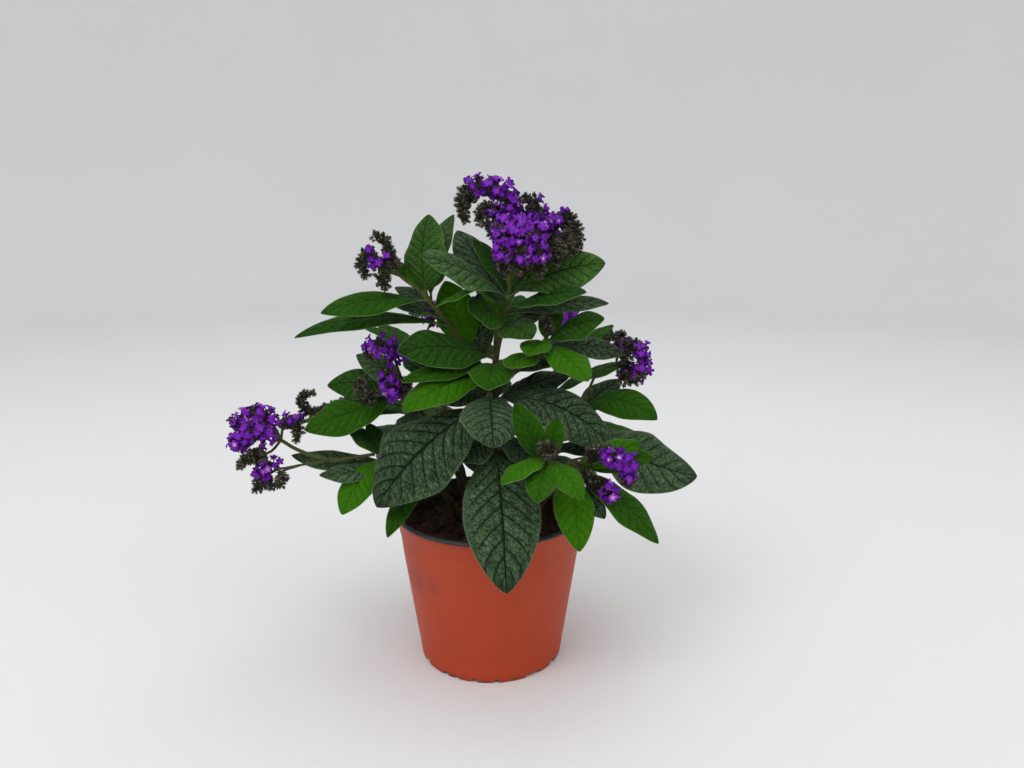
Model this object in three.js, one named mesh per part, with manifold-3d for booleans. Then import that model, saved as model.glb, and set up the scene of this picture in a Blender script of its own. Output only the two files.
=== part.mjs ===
// Potted heliotrope: a bushy plant with quilted leaves and violet flower heads,
// standing in peat in a tapered plastic pot. Millimetres, +Z up, the origin on the
// ground under the middle of the pot.
import * as THREE from 'three';
import { mergeVertices } from 'three/addons/utils/BufferGeometryUtils.js';
import Module from 'manifold-3d';

const wasm = await Module();
wasm.setup();

const SMALLEST_EDGE = 0.1;

// Pot
const POT_HEIGHT = 110;
const RIM_RADIUS = 69;
const WALL_TOP_RADIUS = 67.3;
const FOOT_RADIUS = 51.5;
const WALL = 1.4;
const FLOOR_RISE = 4;
const PAD_RADIUS = 14;
const PAD_SLOPE = 5;
const BEAD_DROP = 3;
const STACKING_LEDGE = { height: 95, step: 0.6 };
const DRAIN = { count: 6, ring: 36, radius: 4 };
const FOOT_NOTCH = { radius: 2, rise: 0.5 };
const NOTCH_ANGLES = [-150, -127, -117, -102, -85, -33];
const WIDE_GAP = { angle: -54, width: 11, height: 2 };
const CUT_LENGTH = 8;
const FOOT_PATTERN_REPEATS = 3;
const FOOT_RING = { foot: 1.8, top: 2.6 };
const BEAD_CHAMFER = { under: 0.6, over: 0.8 };
const POT_SIDES = 26;

// Peat
const SOIL_LEVEL = 98;
const SOIL_RINGS = 3;
const SOIL_EDGE_DROP = 2;
const MOUND = { height: 4, radius: 26 };
const BROAD_LUMPS = 0.9;
const SMALL_LUMPS = 0.6;
const CLEARANCE = 0.3;
const HOLE_SHARES = [0.01, 0.13, 0.25];

// Stems
const STEM_SIDES = 6;
const STEM_STEPS = 6;
const STEM_FOOT_RADIUS = 2.5;
const STEM_TIP_RADIUS = 1.6;

// Leaves
const BLADE_THICKNESS = 0.7;
const PETIOLE_SHARE = 0.09;
const PETIOLE_HALF_WIDTH = 1.1;
const TIP_HALF_WIDTH = 0.4;
const BELLY = 0.48;
const FULLNESS = 0.7;
const ROLL_GROWTH = 1.6;
const STATIONS = [0, 0.28, 0.54, 0.8, 1];
const FEW_STATIONS = [0, 0.36, 0.72, 1];
const SMALL_LEAF = 21;
const GOLDEN_ANGLE = 2.4;
const LOWEST_PITCH = -12;
const HIGHEST_PITCH = 34;
const FURTHER_ARCH = 0.14;

// Flowers
const BRANCH_SIDES = 5;
const LOBES = 5;
const STALK_RADIUS = 1.2;
const MAIN_STALK_RADIUS = 1.6;
const STALK_PITCH = 12;
const FLORET = { radius: 5.2, notch: 0.62, height: 4, throat: 1.2, pitch: 12.5 };
const BUD = { height: 3.6, pitch: 7.3 };
const BUDS_BEGIN = 0.45;
const CURL_RADIUS = 2.4;

// The route of each leafy stem, from its foot in the peat to its growing tip
const STEM_ROUTES = {
  leader: [[0, 2, 80], [-2, 3, 150], [4, 2, 215], [14, 0, 263]],
  upper_left: [[2, 4, 196], [-9, 7, 214], [-25, 6, 237], [-46, -8, 266]],
  upper_right: [[3, 3, 190], [14, 0, 206], [28, -6, 218], [39, -12, 234]],
  left: [[-17, -2, 80], [-30, -7, 118], [-52, -14, 140], [-78, -20, 154]],
  mid_left: [[-9, 10, 80], [-26, 10, 135], [-44, 4, 172], [-66, -6, 196]],
  front: [[2, -12, 80], [6, -17, 125], [4, -22, 165], [0, -27, 200]],
  rosette: [[12, -22, 80], [28, -38, 118], [36, -54, 145], [38, -67, 170]],
  low_right: [[19, -12, 80], [32, -24, 115], [46, -36, 140], [54, -44, 158]],
  mid_right: [[18, 3, 80], [34, 4, 125], [52, 4, 162], [68, 2, 192]],
  back_left: [[-10, 20, 80], [-24, 34, 130], [-38, 52, 175], [-48, 62, 212]],
  back_right: [[10, 22, 80], [26, 38, 130], [42, 56, 172], [52, 66, 208]],
  back: [[0, 20, 80], [0, 30, 140], [2, 42, 195], [4, 50, 240]],
};

// Branches that spring from the side of another stem instead of the peat
const BRANCH_OF = { upper_left: 'leader', upper_right: 'leader' };

// The leaves that show from the front. Each row: share of the stem's route where the
// leaf grows, its tip, width, arch as a share of its length, roll in degrees, and the
// heading in degrees of a leaf that stands nearly upright.
const LEAVES = {
  leader: [
    [0.68, [-59, -32, 228], 38, 0.16, 40],
    [0.66, [0, -56, 208], 30, 0.16, 5],
    [0.62, [-54, -52, 193], 30, 0.16, 25],
    [0.66, [-56, -40, 210], 20, 0.08, 25],
    [0.99, [78, -6, 284], 40, 0.14, -50],
    [0.92, [63, -32, 267], 24, 0.12, -30],
    [0.97, [-41, -40, 290], 34, 0.12, 42],
    [0.88, [-12, -24, 253], 30, 0.14, 45],
    [0.89, [81, -5, 257], 20, 0.12, -35],
    [0.81, [28, -40, 238], 24, 0.2, -20],
    [0.92, [-24, 40, 305], 36, 0.06, 10],
    [0.96, [-12, 18, 299], 18, 0.2, 40, 170],
    [0.78, [45, 0, 255], 22, 0.18, -30],
    [0.5, [57, 12, 204], 32, 0.12, -20],
    [0.55, [-37, -34, 194], 24, 0.1, 20],
    [0.98, [35, 12, 286], 18, 0.1, -60],
  ],
  upper_left: [
    [0.94, [-41, 3, 316], 39, 0.2, 12, 60],
    [0.9, [-25, 18, 316], 22, 0.24, -15, 40],
    [0.86, [-8, -27, 268], 16, 0.1, -25],
    [0.96, [-72, 10, 289], 10, 0.08, 30],
    [0.92, [-109, -28, 253], 26, 0.12, 35],
    [0.7, [-131, -14, 235], 21, 0.19, 30],
    [0.82, [-69, 30, 265], 14, 0.1, 30],
    [0.76, [-68, -2, 257], 14, 0.1, 30],
    [0.45, [-31, 10, 271], 30, 0.02, 0, 90],
    [0.97, [-33, 4, 290], 18, 0.1, 0, 80],
    [0.3, [-8, 14, 262], 22, 0.02, 0, 90],
  ],
  upper_right: [
    [0.88, [93, -4, 222], 24, 0.12, -35],
    [0.91, [64, -48, 212], 26, 0.15, -15],
    [0.97, [25, -44, 228], 20, 0.14, 10],
    [0.8, [12, -38, 219], 22, 0.06, 10],
    [0.78, [66, 6, 202], 26, 0.12, -25],
    [0.94, [76, -24, 249], 28, 0.12, -38],
    [0.35, [50, 14, 224], 28, 0.1, -25],
  ],
  left: [
    [0.97, [-97, -48, 122], 27, 0.15, 10],
    [0.88, [-142, 0, 148], 20, -0.04, 30],
    [0.84, [-113, -38, 146], 20, -0.06, 24],
    [0.9, [-101, -4, 172], 22, 0.12, 0],
    [0.86, [-88, 4, 171], 16, 0.1, 0],
    [0.93, [-71, -22, 171], 6, 0.05, 0],
    [0.6, [-65, -62, 112], 16, 0.14, 10],
  ],
  mid_left: [
    [0.92, [-96, 16, 218], 22, 0.26, 30],
    [0.94, [-125, -24, 173], 32, 0.03, 40],
    [0.93, [-115, 4, 198], 26, 0.2, 50],
    [0.88, [-101, 18, 197], 18, 0.1, 30],
    [0.74, [-145, 20, 166], 16, 0.1, 12],
    [0.78, [-58, -30, 168], 18, 0.14, 15],
  ],
  front: [
    [0.93, [-72, -58, 131], 60, 0.16, 36],
    [0.68, [12, -90, 87], 50, 0.18, -4],
    [0.99, [4, -75, 176], 40, 0.16, 4],
    [0.96, [83, -30, 161], 45, 0.28, -34],
    [0.66, [-24, -44, 158], 30, 0.14, 20],
    [0.72, [30, -30, 150], 28, 0.14, -10],
  ],
  rosette: [
    [0.96, [9, -88, 157], 20, 0.16, 0],
    [0.94, [57, -92, 149], 20, 0.16, -10],
    [0.92, [30, -98, 149], 20, 0.16, 0],
    [0.88, [17, -66, 202], 18, 0.06, 0, 90],
    [0.94, [44, -64, 192], 14, 0.05, 0, 90],
  ],
  low_right: [
    [0.9, [57, -84, 112], 26, 0.16, 0],
    [0.92, [111, -58, 106], 28, 0.14, -25],
    [0.89, [98, -54, 173], 18, 0, -60],
    [0.94, [107, -50, 162], 20, 0.04, -55],
    [0.7, [74, -70, 128], 22, 0.14, -10],
  ],
  mid_right: [
    [0.79, [150, 6, 130], 50, -0.12, -50],
    [0.9, [113, -26, 181], 28, 0.31, -38],
    [0.85, [47, -34, 169], 26, 0.12, 0],
    [0.8, [94, 20, 199], 26, 0.08, -20],
    [0.6, [66, -34, 158], 26, 0.12, 0],
  ],
  back: [
    [0.2, [-20, 70, 142], 28, 0.12, 0],
    [0.22, [22, 70, 140], 28, 0.12, 0],
  ],
};

// The leaves of the sides and the back, placed by rule. Each row: stem, first and last
// share, count, the way they face in degrees, spread, reach and width.
const FURTHER_LEAVES = [
  ['back_left', 0.3, 0.93, 7, 148, 46, 84, 42],
  ['back_right', 0.3, 0.93, 7, 30, 56, 88, 42],
  ['back', 0.45, 0.98, 6, 92, 34, 76, 38],
  ['leader', 0.35, 0.5, 2, 100, 60, 34, 22],
  ['mid_right', 0.4, 0.6, 2, 20, 50, 62, 34],
  ['rosette', 0.45, 0.75, 2, 120, 30, 28, 16],
  ['upper_right', 0.5, 0.95, 2, 60, 40, 44, 22],
  ['upper_left', 0.45, 0.95, 2, 120, 50, 46, 22],
];

// The flower heads: the stem that carries each, and its coiled branches. A branch gives
// its route, the shares of it between which the florets are open, with buds beyond, and
// the thickness of the crowded part. A branch with no shares carries buds alone.
const HEADS = {
  head_top: {
    carrier: 'leader',
    cymes: [
      { route: [[14, 0, 263], [14, 0, 272], [15, 0, 286]], bare: true },
      { route: [[15, 0, 285], [17, 8, 304], [14, 6, 326], [3, 2, 332],
        [-9, 0, 333], [-18, -2, 323], [-15, -5, 312]],
        open: [0.33, 0.74], core: 5.5 },
      { route: [[15, 0, 278], [11, -3, 295], [3, -7, 303], [-3, -9, 311]], core: 2.4 },
      { route: [[15, 0, 284], [25, 6, 298], [31, 5, 311], [31, 3, 322], [24, 0, 327]],
        open: [0.45, 0.85], core: 4 },
      { route: [[15, 0, 279], [13, -12, 298], [11, -20, 309], [11, -30, 297],
        [11, -31, 285], [10, -25, 277]],
        open: [0.3, 0.8], core: 4.4 },
      { route: [[15, 0, 281], [25, -10, 298], [30, -17, 308], [31, -27, 299],
        [32, -28, 286], [33, -22, 277]],
        open: [0.3, 0.8], core: 4.4 },
      { route: [[15, 0, 282], [33, 4, 292], [43, 4, 304], [47, 2, 314],
        [55, 0, 311], [60, -2, 302], [59, -5, 293]],
        open: [0.42, 0.66], core: 4 },
      { route: [[15, 0, 276], [31, -4, 287], [42, -8, 294], [52, -11, 299], [56, -13, 292]], core: 3 },
      { route: [[15, 0, 280], [8, 18, 303], [3, 26, 318], [-6, 34, 320], [-8, 40, 311]],
        open: [0.45, 0.65], core: 4.4 },
      { route: [[15, 0, 277], [31, 20, 299], [38, 29, 305], [45, 37, 300], [44, 42, 291]],
        open: [0.45, 0.65], core: 4.4 },
      { route: [[15, 0, 279], [30, -6, 290], [40, -14, 297], [48, -19, 293], [45, -18, 285]], core: 4 },
      { route: [[15, 0, 281], [33, 2, 291], [46, -3, 299], [54, -8, 303], [52, -10, 296]], core: 4 },
    ],
  },
  head_far_left: {
    carrier: 'left',
    cymes: [
      { route: [[-79, -20, 155], [-95, -19, 152], [-111, -17, 150], [-132, -15, 156], [-145, -13, 163]],
        bare: true },
      { route: [[-145, -13, 163], [-150, -10, 172], [-157, -9, 180],
        [-168, -10, 181], [-176, -13, 173]],
        open: [0.35, 0.95], core: 3.6 },
      { route: [[-145, -13, 163], [-150, -21, 165], [-155, -27, 173],
        [-163, -29, 170], [-173, -25, 162]],
        open: [0.3, 0.92], core: 3.6 },
      { route: [[-145, -13, 163], [-143, -12, 172], [-137, -12, 179],
        [-132, -14, 173], [-134, -15, 164]],
        open: [0.3, 0.6], core: 3 },
      { route: [[-111, -17, 150], [-132, -17, 146], [-146, -18, 144], [-153, -21, 148],
        [-158, -22, 138], [-162, -20, 129]],
        open: [0.62, 0.8], core: 3.4 },
      { route: [[-145, -13, 163], [-158, 0, 164], [-170, 7, 165], [-180, 10, 158], [-178, 9, 149]],
        open: [0.35, 0.7], core: 3.6 },
      { route: [[-145, -13, 163], [-149, -24, 158], [-160, -26, 155], [-168, -25, 152], [-171, -21, 147]],
        core: 4 },
      { route: [[-132, -17, 146], [-142, -26, 144], [-142, -27, 137], [-150, -25, 134]], core: 3.4 },
    ],
  },
  head_upper_left: {
    carrier: 'upper_left',
    cymes: [
      { route: [[-46, -10, 266], [-59, -8, 275], [-65, -7, 284], [-67, -6, 293], [-70, -6, 301],
        [-76, -6, 302]],
        core: 3.6 },
      { route: [[-60, -8, 276], [-70, -12, 282], [-77, -13, 290], [-85, -12, 284], [-82, -9, 276]],
        open: [0.4, 0.55], core: 3.4 },
      { route: [[-60, -8, 276], [-66, -14, 278], [-72, -16, 273], [-68, -15, 269]], core: 3.4 },
    ],
  },
  head_left_high: {
    carrier: 'mid_left',
    cymes: [
      {
        route: [
          [-58, -2, 190], [-62, 2, 203], [-66, -3, 218],
          [-70, -8, 228], [-78, -9, 230], [-82, -9, 221],
        ],
        open: [0.5, 0.92],
        core: 3.4,
      },
    ],
  },
  head_left_mid: {
    carrier: 'mid_left',
    cymes: [
      { route: [[-66, -6, 196], [-64, -20, 199], [-67, -26, 207], [-70, -22, 213]],
        open: [0.4, 0.9], core: 3 },
      { route: [[-66, -6, 196], [-59, -14, 199], [-56, -20, 204], [-61, -22, 209]], core: 2.8 },
      { route: [[-66, -6, 196], [-74, -15, 198], [-83, -26, 197], [-87, -25, 204], [-82, -22, 208]],
        core: 2.8 },
    ],
  },
  head_left_tip: {
    carrier: 'mid_left',
    cymes: [
      { route: [[-51, 2, 181], [-86, 0, 188], [-111, 2, 182], [-124, -3, 180],
        [-131, -6, 186], [-129, -7, 194], [-123, -7, 195]],
        core: 2.6 },
    ],
  },
  head_right: {
    carrier: 'mid_right',
    cymes: [
      { route: [[68, 2, 192], [76, 5, 207], [89, 6, 212], [102, 1, 205],
        [106, -2, 217], [102, 0, 227], [93, 2, 229]],
        open: [0.45, 0.85], core: 3.2 },
      { route: [[89, 6, 212], [91, -2, 206], [99, -4, 203], [105, -3, 206]], core: 3.4 },
      { route: [[89, 6, 212], [90, 8, 222], [94, 10, 229], [88, 8, 233], [82, 6, 231]],
        open: [0.3, 0.55], core: 3.4 },
    ],
  },
  head_low_right: {
    carrier: 'low_right',
    cymes: [
      { route: [[54, -44, 158], [67, -55, 159], [80, -61, 165], [89, -64, 161], [88, -63, 149]],
        open: [0.5, 0.95], core: 3 },
      { route: [[54, -44, 158], [66, -55, 151], [74, -60, 145], [81, -58, 138]],
        open: [0.75, 0.95], core: 3 },
      { route: [[54, -44, 158], [64, -51, 163], [73, -54, 169], [79, -54, 168]], core: 3 },
      { route: [[54, -44, 158], [63, -56, 151], [70, -58, 147], [76, -58, 142]], core: 3.4 },
    ],
  },
  head_rosette: {
    carrier: 'rosette',
    cymes: [
      { route: [[36, -68, 170], [36, -72, 174], [32, -74, 176]], core: 2.2 },
      { route: [[36, -68, 170], [38, -72, 175], [42, -74, 174]], core: 2.2 },
    ],
  },
  head_right_bud: {
    carrier: 'upper_right',
    cymes: [
      { route: [[39, -12, 234], [40, -15, 242], [38, -16, 249]], core: 2 },
    ],
  },
  head_back_left: {
    carrier: 'back_left',
    cymes: [
      { route: [[-48, 62, 212], [-50, 64, 228], [-46, 66, 240], [-54, 70, 247], [-62, 74, 240]],
        open: [0.45, 0.8], core: 3.6 },
    ],
  },
  head_back_right: {
    carrier: 'back_right',
    cymes: [
      { route: [[52, 66, 208], [54, 68, 222], [52, 72, 234], [60, 78, 240], [68, 80, 232]],
        open: [0.45, 0.8], core: 3.6 },
    ],
  },
};

const UP = new THREE.Vector3(0, 0, 1);
const ANY_DIRECTION = new THREE.Vector3(0.29, 0.94, 0.13);
const FRONT_AND_UP = new THREE.Vector3(0, -0.1, 0.35);

function vector(point) {
  return new THREE.Vector3(...point);
}

function radians(degrees) {
  return THREE.MathUtils.degToRad(degrees);
}

function lerp(from, to, share) {
  return from + (to - from) * share;
}

function routeCurve(route) {
  return new THREE.CatmullRomCurve3(route.map(vector), false, 'catmullrom', 0.5);
}

// Closed mesh to solid, with its shared vertices merged
function solidFrom(geometry) {
  const bare = geometry.clone();
  for (const name of Object.keys(bare.attributes)) {
    if (name !== 'position') bare.deleteAttribute(name);
  }
  const merged = mergeVertices(bare, 1e-4);
  const mesh = new wasm.Mesh({
    numProp: 3,
    vertProperties: new Float32Array(merged.attributes.position.array),
    triVerts: new Uint32Array(merged.index.array),
  });
  return new wasm.Manifold(mesh);
}

// Solid back to a geometry. Its largest body is kept, so a hollow that fusing sealed
// is filled and a loose scrap is dropped.
function geometryFrom(solid) {
  const bodies = solid.decompose();
  const body = bodies.reduce((best, other) => (other.volume() > best.volume() ? other : best));
  const mesh = body.simplify(SMALLEST_EDGE).getMesh();
  const geometry = new THREE.BufferGeometry();
  geometry.setAttribute('position', new THREE.BufferAttribute(new Float32Array(mesh.vertProperties), 3));
  geometry.setIndex(new THREE.BufferAttribute(new Uint32Array(mesh.triVerts), 1));
  geometry.computeVertexNormals();
  return geometry;
}

function fuse(solids) {
  return wasm.Manifold.union(solids);
}

// A closed skin through equal rings of points, with a flat end on the first and last.
// The far half of a blade's ring is split like the near half, so its faces stay apart.
function loft(rings, blade = false) {
  const sides = rings[0].length;
  const positions = rings.flat().flatMap((point) => point.toArray());
  const faces = [];
  for (let ring = 0; ring < rings.length - 1; ring += 1) {
    for (let side = 0; side < sides; side += 1) {
      const a = ring * sides + side;
      const b = ring * sides + (side + 1) % sides;
      if (blade && side >= sides / 2) faces.push(a, b, a + sides, b, b + sides, a + sides);
      else faces.push(a, b, b + sides, a, b + sides, a + sides);
    }
  }
  const last = (rings.length - 1) * sides;
  for (let side = 1; side < sides - 1; side += 1) {
    faces.push(0, side + 1, side, last, last + side, last + side + 1);
  }
  const geometry = new THREE.BufferGeometry();
  geometry.setAttribute('position', new THREE.Float32BufferAttribute(positions, 3));
  geometry.setIndex(faces);
  return geometry;
}

// Round tube along a curve, its radius given by the share of the route
function tube(curve, radiusAt, steps) {
  const rings = [];
  let across = ANY_DIRECTION;
  for (let step = 0; step <= steps; step += 1) {
    const share = step / steps;
    const centre = curve.getPoint(share);
    const along = curve.getTangent(share);
    across = across.clone().addScaledVector(along, -across.dot(along)).normalize();
    const third = new THREE.Vector3().crossVectors(along, across);
    rings.push(ringOf(centre, across, third, radiusAt(share), STEM_SIDES, 0));
  }
  return solidFrom(loft(rings));
}

// Points evenly round a centre, in the plane of two directions
function ringOf(centre, across, third, radius, sides, turn) {
  return Array.from({ length: sides }, (_, side) => {
    const angle = (2 * Math.PI * (side + turn)) / sides;
    return centre.clone()
      .addScaledVector(across, radius * Math.cos(angle))
      .addScaledVector(third, radius * Math.sin(angle));
  });
}

function stemRadius(share) {
  return lerp(STEM_FOOT_RADIUS, STEM_TIP_RADIUS, share);
}

function stemTube(name, extra = 0) {
  const curve = routeCurve(STEM_ROUTES[name]);
  return tube(curve, (share) => stemRadius(share) + extra, STEM_STEPS);
}

// The outline of a blade: a narrow leaf stalk, the belly near the middle, a fine point
function halfWidth(share, width) {
  const along = (share - PETIOLE_SHARE) / (1 - PETIOLE_SHARE);
  if (along <= 0) return PETIOLE_HALF_WIDTH;
  if (along >= 1) return TIP_HALF_WIDTH;
  const swell = Math.sin(Math.PI * along ** (Math.log(0.5) / Math.log(BELLY))) ** FULLNESS;
  return Math.max((width / 2) * swell, TIP_HALF_WIDTH);
}

// One leaf: a thin blade along an arched midrib, split alike on both faces
function leafSolid(base, tip, width, arch, roll, heading, stations) {
  const chord = tip.clone().sub(base);
  const ahead = heading === undefined
    ? new THREE.Vector3(chord.x, chord.y, 0).normalize()
    : new THREE.Vector3(Math.cos(radians(heading)), Math.sin(radians(heading)), 0);
  const side = new THREE.Vector3().crossVectors(ahead, UP);
  const lift = new THREE.Vector3().crossVectors(side, chord).normalize();
  const crown = base.clone().lerp(tip, 0.5).addScaledVector(lift, arch * chord.length());
  const midrib = new THREE.QuadraticBezierCurve3(base, crown, tip);
  const rings = stations.map((share) => {
    const centre = midrib.getPoint(share);
    const along = midrib.getTangent(share);
    const turn = radians(roll) * Math.min(1, share * ROLL_GROWTH);
    const face = new THREE.Vector3().crossVectors(side, along).normalize().applyAxisAngle(along, -turn);
    const across = new THREE.Vector3().crossVectors(face, along);
    const half = halfWidth(share, width);
    const upper = BLADE_THICKNESS / 2;
    const place = (out, rise) => centre.clone().addScaledVector(across, out).addScaledVector(face, rise);
    return [place(half, upper), place(-half, upper), place(-half, -upper), place(half, -upper)];
  });
  return solidFrom(loft(rings, true));
}

function shownLeaves(name) {
  const curve = routeCurve(STEM_ROUTES[name]);
  return (LEAVES[name] ?? []).map(([share, tip, width, arch, roll, heading]) =>
    leafSolid(curve.getPoint(share), vector(tip), width, arch, roll, heading,
      width > SMALL_LEAF ? STATIONS : FEW_STATIONS));
}

function furtherLeaves(name) {
  const curve = routeCurve(STEM_ROUTES[name]);
  const leaves = [];
  for (const [stem, first, last, count, outward, spread, reach, width] of FURTHER_LEAVES) {
    if (stem !== name) continue;
    for (let leaf = 0; leaf < count; leaf += 1) {
      const rise = leaf / (count - 1);
      const bearing = radians(outward + spread * Math.sin(leaf * GOLDEN_ANGLE + 0.6));
      const pitch = radians(lerp(LOWEST_PITCH, HIGHEST_PITCH, rise) + 10 * Math.sin(leaf * 1.7));
      const length = reach * (1 - 0.25 * rise) * (1 + 0.1 * Math.sin(leaf * 3.1));
      const base = curve.getPoint(lerp(first, last, rise));
      const way = new THREE.Vector3(
        Math.cos(bearing) * Math.cos(pitch), Math.sin(bearing) * Math.cos(pitch), Math.sin(pitch));
      const tip = base.clone().addScaledVector(way, length);
      leaves.push(leafSolid(base, tip, width * (1 - 0.2 * rise), FURTHER_ARCH, 0, undefined, FEW_STATIONS));
    }
  }
  return leaves;
}

function leafyStem(name) {
  const grown = fuse([stemTube(name), ...shownLeaves(name), ...furtherLeaves(name)]);
  const carrier = BRANCH_OF[name];
  return carrier ? grown.subtract(stemTube(carrier, CLEARANCE)) : grown;
}

// One coiled branch of a flower head: a slim five-sided stem whose faces are raised
// into florets on its outer side, and into buds all round beyond them
class StuddedBranch {
  constructor(route) {
    this.curve = routeCurve(route);
    this.heart = new THREE.Vector3();
    for (const point of route.slice(1)) this.heart.addScaledVector(vector(point), 1 / (route.length - 1));
    this.points = [];
    this.faces = [];
  }

  // The side that the flowers stand on: outwards from the heart of the coil
  outerSide(centre, along) {
    const outwards = centre.clone().sub(this.heart).normalize().add(FRONT_AND_UP);
    return outwards.addScaledVector(along, -outwards.dot(along)).normalize();
  }

  addRing(share, radius) {
    const centre = this.curve.getPointAt(share);
    const along = this.curve.getTangentAt(share);
    const outwards = this.outerSide(centre, along);
    const third = new THREE.Vector3().crossVectors(along, outwards);
    const first = this.points.length;
    this.points.push(...ringOf(centre, outwards, third, radius, BRANCH_SIDES, -0.5));
    return this.points.slice(first).map((_, side) => first + side);
  }

  addBand(lower, upper, kind) {
    for (let side = 0; side < BRANCH_SIDES; side += 1) {
      const next = (side + 1) % BRANCH_SIDES;
      const corners = [lower[side], lower[next], upper[next], upper[side]];
      const outside = side <= 1 || side === BRANCH_SIDES - 1;
      if (kind === 'floret' && outside) this.addFloret(corners);
      else if (kind === 'bud' && side !== 2) this.addBud(corners);
      else this.faces.push(corners[0], corners[1], corners[2], corners[0], corners[2], corners[3]);
    }
  }

  // Middle of a face, its outward direction and the direction along the branch
  faceFrame(corners) {
    const [a, b, c, d] = corners.map((index) => this.points[index]);
    const centre = a.clone().add(b).add(c).add(d).multiplyScalar(0.25);
    const along = d.clone().add(c).sub(a).sub(b).normalize();
    const out = b.clone().add(c).sub(a).sub(d).cross(along).normalize();
    return { centre, along, out, across: new THREE.Vector3().crossVectors(out, along) };
  }

  // Five lobes round a sunken throat, on a funnel that grows out of the face
  addFloret(corners) {
    const { centre, along, out, across } = this.faceFrame(corners);
    const rim = [];
    for (let spoke = 0; spoke < 2 * LOBES; spoke += 1) {
      const angle = (Math.PI * spoke) / LOBES;
      const reach = FLORET.radius * (spoke % 2 === 0 ? 1 : FLORET.notch);
      rim.push({ index: this.points.length, angle });
      this.points.push(centre.clone()
        .addScaledVector(out, FLORET.height)
        .addScaledVector(along, reach * Math.cos(angle))
        .addScaledVector(across, reach * Math.sin(angle)));
    }
    const base = corners.map((index) => {
      const arm = this.points[index].clone().sub(centre);
      const angle = Math.atan2(arm.dot(across), arm.dot(along));
      return { index, angle: angle < 0 ? angle + 2 * Math.PI : angle };
    });
    this.stitch(base.sort((one, other) => one.angle - other.angle), rim);
    const throat = this.points.length;
    this.points.push(centre.clone().addScaledVector(out, FLORET.height - FLORET.throat));
    rim.forEach((spoke, index) => {
      this.faces.push(throat, spoke.index, rim[(index + 1) % rim.length].index);
    });
  }

  // Wall between two loops that run the same way round, each sorted by angle
  stitch(base, rim) {
    let low = 0;
    let high = 0;
    while (low < base.length || high < rim.length) {
      const nextLow = low + 1 < base.length ? base[low + 1].angle : base[0].angle + 2 * Math.PI;
      const nextHigh = high + 1 < rim.length ? rim[high + 1].angle : rim[0].angle + 2 * Math.PI;
      const from = base[low % base.length].index;
      const to = rim[high % rim.length].index;
      if (high >= rim.length || (low < base.length && nextLow < nextHigh)) {
        low += 1;
        this.faces.push(from, base[low % base.length].index, to);
      } else {
        high += 1;
        this.faces.push(from, rim[high % rim.length].index, to);
      }
    }
  }

  addBud(corners) {
    const { centre, out } = this.faceFrame(corners);
    const tip = this.points.length;
    this.points.push(centre.addScaledVector(out, BUD.height));
    corners.forEach((index, side) => this.faces.push(index, corners[(side + 1) % 4], tip));
  }

  addEnd(ring, point, facesOn) {
    const tip = this.points.length;
    this.points.push(point);
    ring.forEach((index, side) => {
      const next = ring[(side + 1) % ring.length];
      if (facesOn) this.faces.push(index, next, tip);
      else this.faces.push(next, index, tip);
    });
  }

  solid() {
    const geometry = new THREE.BufferGeometry();
    geometry.setAttribute('position', new THREE.Float32BufferAttribute(
      this.points.flatMap((point) => point.toArray()), 3));
    geometry.setIndex(this.faces);
    return solidFrom(geometry);
  }
}

// Stations along a branch, evenly spaced in each of its stretches
function stretch(from, to, pitch, length, kind) {
  const count = Math.max(1, Math.round(((to - from) * length) / pitch));
  return Array.from({ length: count }, (_, step) => ({ share: lerp(from, to, step / count), kind }));
}

function cymeSolid({ route, open, core, bare }) {
  const branch = new StuddedBranch(route);
  const length = branch.curve.getLength();
  const [opens, shuts] = bare ? [1, 1] : open ?? [BUDS_BEGIN, BUDS_BEGIN];
  const stations = [
    ...stretch(0, opens, STALK_PITCH, length, 'bare'),
    ...(open ? stretch(opens, shuts, FLORET.pitch, length, 'floret') : []),
    ...(bare ? [] : stretch(shuts, 1, BUD.pitch, length, 'bud')),
    { share: 1, kind: 'end' },
  ];
  const radiusAt = (share) => {
    if (bare) return MAIN_STALK_RADIUS;
    if (share < opens) return STALK_RADIUS;
    if (share <= shuts) return core;
    return lerp(core, CURL_RADIUS, (share - shuts) / (1 - shuts));
  };
  const rings = stations.map(({ share }) => branch.addRing(share, radiusAt(share)));
  for (let band = 0; band < stations.length - 1; band += 1) {
    branch.addBand(rings[band], rings[band + 1], stations[band].kind);
  }
  branch.addEnd(rings[0], branch.curve.getPointAt(0), false);
  const tip = branch.curve.getPointAt(1).addScaledVector(branch.curve.getTangentAt(1), BUD.height * 0.8);
  branch.addEnd(rings.at(-1), tip, true);
  return branch.solid();
}

function flowerHead({ carrier, cymes }) {
  const grown = fuse(cymes.map(cymeSolid));
  return grown.subtract(stemTube(carrier, CLEARANCE));
}

function wallRadius(height) {
  return lerp(FOOT_RADIUS, WALL_TOP_RADIUS, height / (POT_HEIGHT - BEAD_DROP));
}

function turned(profile, sides) {
  const points = profile.map(([radius, height]) => new THREE.Vector2(radius, height));
  const geometry = new THREE.LatheGeometry(points, sides);
  geometry.rotateX(Math.PI / 2);
  return geometry;
}

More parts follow.
